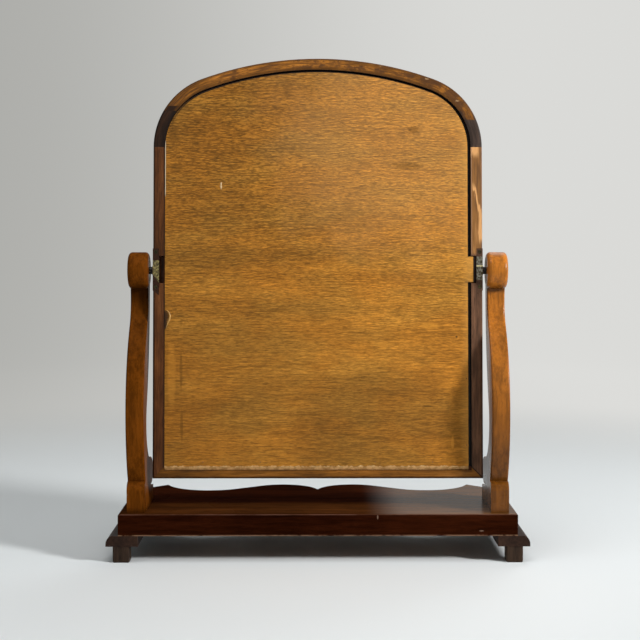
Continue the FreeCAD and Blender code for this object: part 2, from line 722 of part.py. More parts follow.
def socket_plate():
    """Angle fitting on the +X stile: an eye around the spigot and a strip screwed to the frame's back."""
    owner = place(body("socket_blank"), y=AXIS_Y, z=AXIS_Z)
    reach = value("eye_radius")
    corners = (
        (FRAME_BACK, "0 - eye_radius"),
        (FRAME_BACK, "eye_radius"),
        (0.0, reach),
        (0.0, -reach),
    )
    rounds = {2: ("eye_radius", 1, ("0", "0"))}
    eye = outline(owner, "socket_eye", "YZ_Plane", corners, rounds, smooth=(2, 3), shift={"z": EYE_X})
    pad(owner, eye, "eye_thick", back=True)
    corners = (
        (f"{EYE_X} - socket_width", "0 - socket_below"),
        (EYE_X, "socket_slant - socket_below"),
        (EYE_X, "socket_above"),
        (f"{EYE_X} - socket_width", "socket_above"),
    )
    strip = outline(owner, "socket_strip", "XZ_Plane", corners, shift={"z": f"0 - {FRAME_BACK}"})
    pad(owner, strip, "socket_thick")
    bore = ring(
        owner, "socket_bore", "YZ_Plane", "0", "0", "spigot_radius + running_clearance", shift={"z": EYE_X},
    )
    cut(owner, bore, "eye_thick")
    return owner


def frame_section(owner, name, plane, across, turning, shift=None):
    """Frame's moulded section; across turns a corner (from the outer edge, from the axis) into x and y."""
    low = FRAME_FRONT
    slip = f"( {FACE} - slip_width )"
    slip_y = f"( {low} + slip_drop + slip_step )"
    outer_round = "( ( cushion_crest ^ 2 + cushion_drop ^ 2 ) / ( 2 * cushion_drop ) )"
    inner_round = f"( ( ( {slip} - cushion_crest ) ^ 2 + slip_drop ^ 2 ) / ( 2 * slip_drop ) )"
    corners = (
        ("arris_radius", FRAME_BACK),
        ("0", f"{FRAME_BACK} - arris_radius"),
        ("0", f"{low} + cushion_drop"),
        ("cushion_crest", low),
        (slip, f"{low} + slip_drop"),
        (slip, slip_y),
        (FACE, slip_y),
        (FACE, LIP_Y),
        (GLASS_LAND, LIP_Y),
        (GLASS_LAND, LEDGE_Y),
        ("board_land", LEDGE_Y),
        ("board_land", FRAME_BACK),
    )
    rounds = {
        0: ("arris_radius", turning, None),
        2: (outer_round, turning, None),
        3: (inner_round, turning, None),
    }
    return outline(owner, name, plane, [across(*corner) for corner in corners], rounds, shift=shift)


def stile():
    """Upright side of the frame at +X, from the mitre at the lower corner to the springing."""
    owner = place(body("stile_blank"), y=AXIS_Y, z=AXIS_Z)
    section = frame_section(
        owner, "stile_section", "XY_Plane", lambda u, y: (f"{HALF} - {u}", y), -1, {"z": SPRING},
    )
    pad(owner, section, "mirror_height - arch_rise", back=True)
    corners = (
        (f"{HALF} - {FACE}", BOTTOM),
        (HALF, BOTTOM),
        (f"{HALF} - {FACE}", f"{BOTTOM} + {FACE}"),
    )
    cut(owner, outline(owner, "stile_mitre", "XZ_Plane", corners))
    return owner


def bottom_rail():
    """Lower side of the frame, mitred at both ends, with a wider rebate for the board."""
    owner = place(body("bottom_blank"), y=AXIS_Y, z=AXIS_Z)
    section = frame_section(
        owner, "bottom_section", "YZ_Plane", lambda u, y: (y, f"{BOTTOM} + {u}"), -1, {"z": f"0 - {HALF}"},
    )
    pad(owner, section, f"2 * {HALF}")
    for name, side in (("left", "-1"), ("right", "1")):
        corners = (
            (f"{side} * {HALF}", BOTTOM),
            (f"{side} * {HALF}", f"{BOTTOM} + {FACE}"),
            (f"{side} * ( {HALF} - {FACE} )", f"{BOTTOM} + {FACE}"),
        )
        cut(owner, outline(owner, f"bottom_mitre_{name}", "XZ_Plane", corners))
    rebate = block(
        "bottom_rebate",
        f"board_land - {HALF}",
        f"{AXIS_Y} + {LEDGE_Y}",
        f"{AXIS_Z} + {BOTTOM} + board_land - rail_rebate_extra",
        f"2 * {HALF} - 2 * board_land", f"{FRAME_BACK} - {LEDGE_Y}", "rail_rebate_extra",
    )
    return owner, rebate


def shoulder():
    """Whole +X shoulder of the arch, turned about its centre from the springing to the crown's arc."""
    owner = place(body("shoulder_blank"), y=AXIS_Y, z=AXIS_Z)
    section = frame_section(
        owner, "shoulder_section", "XY_Plane", lambda u, y: (f"shoulder_radius - {u}", y), -1,
        {"x": ARCH_K, "z": SPRING},
    )
    turn(owner, section, "V_Axis", f"atan({ARCH_C} / {ARCH_K})", back=True)
    return owner


def crown_arc():
    """Flat middle arc of the arch, turned both ways from its top about the crown's centre."""
    owner = place(body("crown_blank"), y=AXIS_Y, z=AXIS_Z)
    section = frame_section(
        owner, "crown_section", "YZ_Plane", lambda u, y: (y, f"{CROWN_RADIUS} - {u}"), 1,
        {"y": f"{SPRING} - {ARCH_C}"},
    )
    turn(owner, section, "H_Axis", f"2 * atan({ARCH_K} / {ARCH_C})", both=True)
    return owner


def arch_outline(owner, name, inset, bottom, shift):
    """Outline of the arch, drawn in by an inset all round, down to a straight lower edge."""
    inset = f"( {inset} )"
    half = f"{HALF} - {inset}"
    small = f"( shoulder_radius - {inset} )"
    share = f"( {small} / ( {ARCH_C} + {ARCH_M} ) )"
    touch_x = f"{ARCH_K} + {share} * {ARCH_K}"
    touch_z = f"{SPRING} + {share} * {ARCH_C}"
    corners = (
        (f"0 - ( {half} )", bottom),
        (half, bottom),
        (half, SPRING),
        (touch_x, touch_z),
        (f"0 - ( {touch_x} )", touch_z),
        (f"0 - ( {half} )", SPRING),
    )
    rounds = {
        2: (small, 1, None),
        3: (f"{CROWN_RADIUS} - {inset}", 1, None),
        4: (small, 1, None),
    }
    return outline(owner, name, "XZ_Plane", corners, rounds, shift=shift)


def mirror_glass():
    """Plain plate behind the frame's lip."""
    owner = place(body("mirror_glass"), y=AXIS_Y, z=AXIS_Z)
    inset = f"{GLASS_LAND} + glass_clearance"
    shape = arch_outline(owner, "glass_outline", inset, f"{BOTTOM} + {inset}", {"z": f"0 - {GLASS_BACK}"})
    pad(owner, shape, "glass_thick")
    return owner


def backboard():
    """Board in the frame's back, pushed towards +X, with a bevelled lower edge and a tongue in one notch."""
    owner = place(body("board_blank"), y=AXIS_Y, z=AXIS_Z)
    surface = f"{FRAME_BACK} - board_inset"
    lower = f"{BOTTOM} + board_land - rail_rebate_extra + board_gap_tight"
    shift = {"x": "( board_gap_loose - board_gap_tight ) / 2", "z": f"0 - ( {surface} )"}
    inset = "board_land + ( board_gap_tight + board_gap_loose ) / 2"
    pad(owner, arch_outline(owner, "board_outline", inset, lower, shift), "board_thick")
    corners = (
        (surface, lower),
        (surface, f"{lower} + board_bevel_width"),
        (f"{surface} - board_bevel_depth", lower),
    )
    cut(owner, outline(owner, "board_bevel", "YZ_Plane", corners))
    tongue = rectangle(
        owner, "board_tongue", "XZ_Plane",
        f"socket_width + tongue_clearance - {EYE_X}", "tongue_clearance - pocket_below",
        f"board_land + 2 * board_gap_loose - {HALF}", "pocket_above - tongue_clearance",
        {"z": f"0 - ( {surface} )"},
    )
    pad(owner, tongue, "board_thick")
    return owner


SIDES = (("left", -1), ("right", 1))
SLOT_AIM = 25
SLOT_TURN = 55


def rail_screws():
    """Three screws up through each rail into the platform."""
    screws = []
    for name, side in SIDES:
        spots = ("rail_screw_end", "rail_length / 2", "( rail_length - rail_screw_end )")
        for number, spot in enumerate(spots):
            x = f"{side} * ( platform_width / 2 - rail_screw_inset )"
            y = f"{BACK} - {spot}"
            label = f"rail_screw_{name}_{number}"
            aim = SLOT_AIM + SLOT_TURN * number * side
            screws.append(screw(label, "rail_screw", x, y, "foot_height", UP, aim))
    return screw_group("rail_screws", screws)


def support_screws():
    """Two screws up through the platform into each support, before and behind its tenon."""
    screws = []
    for name, side in SIDES:
        for number, end in enumerate((-1, 1)):
            y = f"{BACK} - ( heel_setback + toe_setback ) / 2 + {end} * support_screw_spread / 2"
            label = f"support_screw_{name}_{number}"
            x = f"{side} * {SUPPORT_MID}"
            aim = SLOT_AIM + SLOT_TURN * number * side
            screws.append(screw(label, "support_screw", x, y, RAIL_TOP, UP, aim))
    return screw_group("support_screws", screws)


def pivot_plate_screws():
    """Two screws through each pivot plate into its scroll."""
    screws = []
    for name, side in SIDES:
        for number, end in enumerate((-1, 1)):
            z = f"{AXIS_Z} + {end} * plate_screw_spread / 2"
            label = f"plate_screw_{name}_{number}"
            x = f"{side} * {SCROLL_IN}"
            aim = SLOT_AIM + SLOT_TURN * number * side
            screws.append(screw(label, "fitting_screw", x, AXIS_Y, z, OUT * side, aim))
    return screw_group("pivot_plate_screws", screws)


def socket_plate_screws():
    """Two screws through each socket's strip into its stile, above and below the notch."""
    screws = []
    heights = ("socket_above - socket_screw_inset", "socket_slant + socket_screw_inset - socket_below")
    for name, side in SIDES:
        x = f"{side} * ( {EYE_X} - socket_width / 2 )"
        for number, height in enumerate(heights):
            label = f"socket_screw_{name}_{number}"
            y = f"{AXIS_Y} + {FRAME_BACK}"
            z = f"{AXIS_Z} + {height}"
            aim = SLOT_AIM + SLOT_TURN * number * side
            screws.append(screw(label, "fitting_screw", x, y, z, FORWARD, aim))
    return screw_group("socket_plate_screws", screws)


def frame_dowels():
    """Upright dowels across the joints of stile, shoulder and crown."""
    middle = f"( {GLASS_LAND} / 2 )"
    arc = f"( shoulder_radius - {middle} )"
    joints = (
        (f"( {HALF} - {middle} )", SPRING),
        (f"( {ARCH_K} + sqrt({arc} ^ 2 - crown_joint_rise ^ 2) )", CROWN_JOINT),
    )
    dowels = []
    for name, side in SIDES:
        for number, (x, z) in enumerate(joints):
            start = f"{AXIS_Z} + {z} - dowel_length / 2"
            y = f"{AXIS_Y} + ( {LEDGE_Y} + {FRAME_FRONT} ) / 2"
            label = f"dowel_{name}_{number}"
            dowels.append(rod(label, "dowel_radius", "dowel_length", f"{side} * {x}", y, start, UP))
    return group("frame_dowels", dowels)


BRADS_PER_SIDE = 5
BRAD_ANGLES = (-14, -7, 0, 7, 14)
WEDGES_PER_SIDE = 3
WEDGE_ANGLES = (-11, 0, 11)


def backboard_brads():
    """Brads through the board into its ledge: along both stiles, the bottom rail and the crown."""
    edge = f"( {GLASS_LAND} - brad_inset )"
    spots = []
    for number in range(BRADS_PER_SIDE):
        share = (number + 0.5) / BRADS_PER_SIDE
        z = f"{BOTTOM} + {share} * ( {SPRING} - {BOTTOM} )"
        spots.append((f"{HALF} - {edge}", z))
        spots.append((f"{edge} - {HALF}", z))
        spots.append((f"{share - 0.5} * ( 2 * {HALF} - 2 * {FACE} )", f"{BOTTOM} + {edge}"))
    for angle in BRAD_ANGLES:
        reach = f"( {CROWN_RADIUS} - {edge} )"
        spots.append((f"{reach} * sin({angle})", f"{SPRING} - {ARCH_C} + {reach} * cos({angle})"))
    y = f"{AXIS_Y} + {FRAME_BACK} - board_inset"
    brads = []
    for number, (x, z) in enumerate(spots):
        brads.append(rod(f"brad_{number}", "brad_radius", "brad_length", x, y, f"{AXIS_Z} + {z}", FORWARD))
    return group("backboard_brads", brads)


def glass_wedges():
    """Blocks between plate and board that hold the plate: on the stiles, the bottom rail and the crown."""
    wall = f"( {GLASS_LAND} + wedge_gap )"
    y = f"{AXIS_Y} + {GLASS_BACK}"
    blocks = []
    for number in range(WEDGES_PER_SIDE):
        share = (number + 0.5) / WEDGES_PER_SIDE
        z = f"{AXIS_Z} + {BOTTOM} + {share} * ( {SPRING} - {BOTTOM} ) - wedge_length / 2"
        upright = ("wedge_width", "wedge_thick", "wedge_length")
        blocks.append(block(f"wedge_right_{number}", f"{HALF} - {wall} - wedge_width", y, z, *upright))
        blocks.append(block(f"wedge_left_{number}", f"{wall} - {HALF}", y, z, *upright))
        x = f"{share - 0.5} * ( 2 * {HALF} - 2 * {FACE} ) - wedge_length / 2"
        level = ("wedge_length", "wedge_thick", "wedge_width")
        blocks.append(block(f"wedge_low_{number}", x, y, f"{AXIS_Z} + {BOTTOM} + {wall}", *level))
    for number, angle in enumerate(WEDGE_ANGLES):
        reach = f"( {CROWN_RADIUS} - {wall} - wedge_width )"
        x = f"{reach} * sin({angle}) - wedge_length / 2 * cos({angle})"
        z = f"{SPRING} - {ARCH_C} + {reach} * cos({angle}) + wedge_length / 2 * sin({angle})"
        wedge = doc.addObject("Part::Box", f"wedge_crown_{number}")
        bind(wedge, Length="wedge_length", Width="wedge_thick", Height="wedge_width")
        wedge.Placement = FreeCAD.Placement(Vector(), FreeCAD.Rotation(Vector(0, 1, 0), angle))
        blocks.append(place(wedge, x, y, f"{AXIS_Z} + {z}"))
    return group("glass_wedges", blocks)


def mortises():
    """Room for the two supports' tenons in the platform."""
    middle = "( heel_setback + toe_setback ) / 2"
    blocks = []
    for name, side in SIDES:
        blocks.append(block(
            f"mortise_{name}",
            f"{side} * {SUPPORT_MID} - tenon_thick / 2 - tenon_clearance",
            f"{BACK} - {middle} - tenon_length / 2 - tenon_clearance",
            f"{TOP} - tenon_depth - tenon_clearance",
            "tenon_thick + 2 * tenon_clearance",
            "tenon_length + 2 * tenon_clearance",
            "tenon_depth + tenon_clearance",
        ))
    return group("mortises", blocks)


def stile_pocket():
    """Notch in the back of the +X stile around the socket's eye."""
    return block(
        "stile_pocket",
        f"{HALF} - board_land", f"{AXIS_Y} - eye_radius - pocket_clearance", f"{AXIS_Z} - pocket_below",
        "board_land", f"eye_radius + pocket_clearance + {FRAME_BACK}", "pocket_above + pocket_below",
    )


def arch_block(name, low, high):
    """Slice of space over the whole arch between two heights."""
    return block(
        name,
        f"0 - {HALF}", f"{AXIS_Y} + {FRAME_FRONT}", f"{AXIS_Z} + {low}",
        f"2 * {HALF}", "frame_thick", f"{high} - {low}",
    )


def stand_nodes():
    """Pieces that stay still."""
    rail_room, rail_fixings = rail_screws()
    support_room, support_fixings = support_screws()
    plate_room, plate_fixings = pivot_plate_screws()
    board = less("platform_board", platform(), mortises(), rail_room, support_room)
    rail = less("foot_rail_right", side_rail(), rail_room)
    feet = []
    for name, side in SIDES:
        for end in ("back", "front"):
            feet.append(foot(f"foot_block_{end}_{name}", side, end))
    upright = less("support_right", support(), support_room, plate_room)
    plate = less("pivot_plate_right", pivot_plate(), plate_room)
    stud = pivot_stud()
    images = [
        mirrored("foot_rail_left", rail),
        mirrored("support_left", upright),
        mirrored("pivot_plate_left", plate),
        mirrored("pivot_stud_left", stud),
    ]
    fixings = [rail_fixings, support_fixings, plate_fixings]
    return [board, rail, upright, plate, stud] + fixings + feet + images


def mirror_nodes():
    """Pieces that swing with the mirror."""
    room, fixings = socket_plate_screws()
    dowels = frame_dowels()
    brads = backboard_brads()
    socket = socket_plate()
    arch = shoulder()
    top = f"( {SPRING} + arch_rise )"
    upper = arch_block("above_crown_joint", CROWN_JOINT, top)
    lower = arch_block("below_crown_joint", SPRING, CROWN_JOINT)
    whole_arch = doc.addObject("Part::MultiFuse", "whole_arch")
    whole_arch.Shapes = [crown_arc(), arch, mirrored("shoulder_image", arch)]
    upright = less("frame_stile_right", stile(), stile_pocket(), socket, room, dowels, brads)
    low_rail, rebate = bottom_rail()
    bend = less("frame_shoulder_right", arch, upper, dowels, brads)
    plate = less("socket_plate_right", socket, room)
    washer = friction_washer()
    images = [
        mirrored("frame_stile_left", upright),
        mirrored("frame_shoulder_left", bend),
        mirrored("socket_plate_left", plate),
        mirrored("friction_washer_left", washer),
    ]
    return [
        upright, bend, plate, washer, fixings, dowels, brads,
        less("frame_crown", whole_arch, lower, dowels, brads),
        less("frame_bottom_rail", low_rail, rebate, brads),
        less("backboard", backboard(), brads),
        mirror_glass(),
        glass_wedges(),
    ] + images


def leaning(node):
    """A piece of the mirror, turned about the swing axis to the tilt at which the mirror rests."""
    turned = group(node.Name + "_leaning", [node])
    turned.Placement = FreeCAD.Placement(Vector(), FreeCAD.Rotation(OUT, 1))
    bind(turned, Placement__Rotation__Angle="rest_tilt")
    y = f"{AXIS_Y} * ( 1 - cos(rest_tilt) ) + {AXIS_Z} * sin(rest_tilt)"
    z = f"{AXIS_Z} * ( 1 - cos(rest_tilt) ) - {AXIS_Y} * sin(rest_tilt)"
    return place(turned, y=y, z=z)


def main():
    """Build every node, check it and write it out."""
    nodes = {node.Name: node for node in stand_nodes()}
    nodes.update({node.Name: leaning(node) for node in mirror_nodes()})
    doc.recompute()
    for thing in doc.Objects:
        if "Invalid" in thing.State or "Error" in thing.State:
            raise RuntimeError(f"{thing.Name} failed: {thing.State}")
    for name, node in nodes.items():
        if node.Shape.isNull() or not node.Shape.isValid() or node.Shape.Volume <= 0:
            raise RuntimeError(f"{name} has no valid shape")
    os.makedirs("parts", exist_ok=True)
    for name, node in nodes.items():
        node.Shape.exportStep(f"parts/{name}.step")
        print(name, len(node.Shape.Solids), round(node.Shape.Volume / 1000, 2), "cm3")


main()
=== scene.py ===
import json
import math

import bpy
import numpy as np
from bpy.props import FloatProperty, FloatVectorProperty, PointerProperty
from mathutils import Matrix, Vector


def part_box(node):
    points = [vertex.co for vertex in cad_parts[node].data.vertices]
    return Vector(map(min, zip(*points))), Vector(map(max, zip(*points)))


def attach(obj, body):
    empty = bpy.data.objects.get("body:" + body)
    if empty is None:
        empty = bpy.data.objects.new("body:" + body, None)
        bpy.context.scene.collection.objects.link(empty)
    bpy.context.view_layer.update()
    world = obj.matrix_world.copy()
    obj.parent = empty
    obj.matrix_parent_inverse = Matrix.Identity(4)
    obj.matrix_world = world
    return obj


bl_info = {
    "name": "Dressing table mirror",
    "version": (1, 0, 0),
    "blender": (4, 5, 0),
    "location": "View3D > Sidebar > Mirror",
    "description": "Finishes, small relief and stage for a swing mirror on a serpentine platform",
    "category": "Object",
}

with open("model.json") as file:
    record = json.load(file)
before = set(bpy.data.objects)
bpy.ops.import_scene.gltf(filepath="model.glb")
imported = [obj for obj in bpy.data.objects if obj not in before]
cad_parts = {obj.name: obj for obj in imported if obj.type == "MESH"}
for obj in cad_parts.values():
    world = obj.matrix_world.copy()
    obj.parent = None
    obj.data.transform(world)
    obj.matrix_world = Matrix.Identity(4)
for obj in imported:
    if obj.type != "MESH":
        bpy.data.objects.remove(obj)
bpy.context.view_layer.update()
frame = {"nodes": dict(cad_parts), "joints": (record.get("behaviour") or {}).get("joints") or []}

# Lengths are metres. The camera stands behind the mirror, so +X is on the viewer's left. The mirror
# leans at rest; its pieces are finished in upright coordinates, turned back about the swing axis.
PIVOT = Vector(frame["joints"][0]["pos_m"])


def resting_lean():
    """Angle of the mirror at rest, from the normal of the plate's widest face."""
    faces = frame["nodes"]["mirror_glass"].data.polygons
    normal = max(faces, key=lambda face: face.area).normal
    return math.atan(normal.z / normal.y)


LEAN = resting_lean()


def turned(points, angle):
    """Points turned about the swing axis."""
    return (points - PIVOT) @ np.array(Matrix.Rotation(angle, 3, "X")).T + PIVOT


def upright_box(name):
    """Lowest and highest corner of a mirror piece with the lean taken out."""
    vertices = frame["nodes"][name].data.vertices
    points = np.empty(len(vertices) * 3)
    vertices.foreach_get("co", points)
    upright = turned(points.reshape(-1, 3), -LEAN)
    return Vector(upright.min(axis=0)), Vector(upright.max(axis=0))


BOARD_LOW, BOARD_HIGH = upright_box("backboard")
GLASS_LOW, GLASS_HIGH = upright_box("mirror_glass")
STILE_LOW, STILE_HIGH = upright_box("frame_stile_right")
CROWN_HIGH = upright_box("frame_crown")[1]
PLATFORM_LOW, PLATFORM_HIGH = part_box("platform_board")
SUPPORT_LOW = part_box("support_right")[0]

# The frame's outer outline: straight stiles, two shoulder arcs and a crown arc tangent to them.
HALF = STILE_HIGH.x
SPRING = STILE_HIGH.z
RISE = CROWN_HIGH.z - SPRING
SHOULDER = 0.105
SHOULDER_X = HALF - SHOULDER
ARCH = (SHOULDER_X ** 2 + RISE ** 2 - SHOULDER ** 2) / (2 * (RISE - SHOULDER))
ARCH_Z = CROWN_HIGH.z - ARCH

# Inset of the rebate's wall from that outline, heights at which the crown's finish ends on either side,
# radius of the supports' bosses, and the place of the main lamp.
REBATE = 0.0165
JOINT_LEFT, JOINT_RIGHT = 0.6234, 0.6434
BOSS = 0.0262
KEY_PLACE = (-2.24, 1.37, 1.45)


def colour(name, words, default):
    """Colour property of a finish."""
    return FloatVectorProperty(
        name=name, description=words, default=default, size=3, min=0.0, max=1.0, subtype="COLOR"
    )


def length(name, words, default):
    """Length property in metres."""
    return FloatProperty(name=name, description=words, default=default, min=0.0, unit="LENGTH")


def share(name, words, default):
    """Property between nought and one."""
    return FloatProperty(name=name, description=words, default=default, min=0.0, max=1.0)


def power(name, words, default):
    """Power property of a lamp."""
    return FloatProperty(name=name, description=words, default=default, min=0.0, unit="POWER")


def angle(name, words, degrees):
    """Angle property."""
    return FloatProperty(name=name, description=words, default=math.radians(degrees), subtype="ANGLE")


class MirrorWoods(bpy.types.PropertyGroup):
    """Middle tones of the woods."""

    board: colour("Backboard", "Dry, unpolished board in the frame's back", (0.365, 0.152, 0.017))
    crown: colour("Crown", "Worn back of the arch's top piece", (0.280, 0.104, 0.014))
    crown_dark: colour("Crown's stain", "Old stain left on the crown's back", (0.070, 0.028, 0.010))
    shoulder_left: colour("Left shoulder", "Back of the shoulder at -X", (0.058, 0.036, 0.026))
    shoulder_right: colour("Right shoulder", "Back of the shoulder at +X", (0.021, 0.0085, 0.0035))
    stile_left: colour("Left stile", "Back of the upright at -X", (0.115, 0.054, 0.028))
    stile_right: colour("Right stile", "Back of the upright at +X", (0.085, 0.028, 0.007))
    low_rail: colour("Bottom rail", "Back of the frame's bottom rail", (0.175, 0.063, 0.006))
    raw: colour("Bare wood", "Wood that has lost its finish", (0.52, 0.25, 0.085))
    polish: colour("Polished frame", "Polished front and sides of the frame", (0.105, 0.030, 0.009))
    # The two supports are one wood: the -X tone is painted lighter as lit, the +X tone darker as shaded.
    support_left: colour("Left support", "Polished S-scroll support at -X", (0.36, 0.118, 0.013))
    support_right: colour("Right support", "Polished S-scroll support at +X", (0.100, 0.028, 0.0026))
    platform: colour("Platform", "Polished platform board", (0.024, 0.0052, 0.0016))
    # Painted reflection of the pale backdrop on the -X end of the platform's top.
    platform_painted_reflection: colour("Faded platform", "Faded end of the platform's top", (0.128, 0.056, 0.018))
    rail: colour("Side rails", "Rails under the platform", (0.026, 0.012, 0.007))
    foot: colour("Feet", "Block feet", (0.036, 0.020, 0.012))
    # Dark open mitre joint, and painted shade in the frame's rebate.
    soot_and_painted_rebate_shade: colour("Soot", "Dirt in the frame's rebate and open joint", (0.006, 0.003, 0.002))
    inner: colour("Wedges and dowels", "Unfinished small pieces inside the frame", (0.50, 0.34, 0.17))


class MirrorMetals(bpy.types.PropertyGroup):
    """Tones of the metal pieces, the leather washers, the plate and the glue."""

    brass: colour("Brass", "Pivot plates and socket plates", (0.48, 0.39, 0.16))
    nickel: colour("Grey brass", "Dulled socket plate at -X", (0.30, 0.28, 0.23))
    tarnish: colour("Tarnish", "Dark film on the brass", (0.075, 0.060, 0.028))
    iron: colour("Iron", "Studs and screws", (0.045, 0.042, 0.040))
    rust: colour("Rust", "Heads of the brads", (0.20, 0.085, 0.022))
    silver: colour("Silvering", "Mirror plate", (0.86, 0.88, 0.88))
    leather: colour("Leather", "Washers on the pivots", (0.060, 0.034, 0.020))
    glue: colour("Glue", "Dried run of glue on the board", (0.47, 0.25, 0.06))


class MirrorRelief(bpy.types.PropertyGroup):
    """Sizes of what stands on or is worn into the surfaces."""

    glue_thick: length("Glue thickness", "Height of the glue run over the board", 0.0012)
    drip_thick: length("Drip thickness", "Height of the small drip over the board", 0.0009)
    grain_depth: length("Grain depth", "Depth of the grain in the dry board", 0.0006)
    arris: length("Arris", "Softening of every worn edge", 0.0010)
    wear: share("Wear", "How far the finish has gone along the edges", 0.6)


class MirrorStage(bpy.types.PropertyGroup):
    """Floor, light and camera."""

    floor: colour("Floor", "Floor", (0.78, 0.81, 0.815))
    wall: colour("Backdrop", "Upright backdrop on the viewer's right", (0.70, 0.70, 0.68))
    wall_dim: colour("Dim backdrop", "Upright backdrop on the viewer's left", (0.42, 0.42, 0.40))
    floor_near: length("Floor's reach", "Distance at which the floor starts to fade out", 0.75)
    floor_far: length("Floor's end", "Distance at which only the backdrop's tone is left", 1.9)
    bowl_radius: length("Backdrop radius", "Distance from the middle to the upright backdrop", 4.2)
    bowl_bend: length("Backdrop bend", "Radius of the bend from floor to backdrop", 1.4)
    bowl_height: length("Backdrop height", "Height of the backdrop", 4.0)
    key: power("Key light", "Soft light from the viewer's right", 85.5)
    fill: power("Fill light", "Soft light from above", 17.5)
    front: power("Front light", "Soft light on the side of the plate", 11.0)
    sky: share("Sky", "Even light from all round", 0.142)
    lens: FloatProperty(name="Lens", description="Focal length in millimetres", default=80.5, min=1.0)
    pitch: angle("Pitch", "Camera's fall below level", 3.5)
    yaw: angle("Yaw", "Camera's turn to its right", 0.283)
    eye: FloatVectorProperty(
        name="Camera", description="Camera's place", default=(0.007, 2.101, 0.462), size=3, subtype="XYZ"
    )


class MirrorSettings(bpy.types.PropertyGroup):
    """All settings of the mirror."""

    woods: PointerProperty(type=MirrorWoods)
    metals: PointerProperty(type=MirrorMetals)
    relief: PointerProperty(type=MirrorRelief)
    stage: PointerProperty(type=MirrorStage)


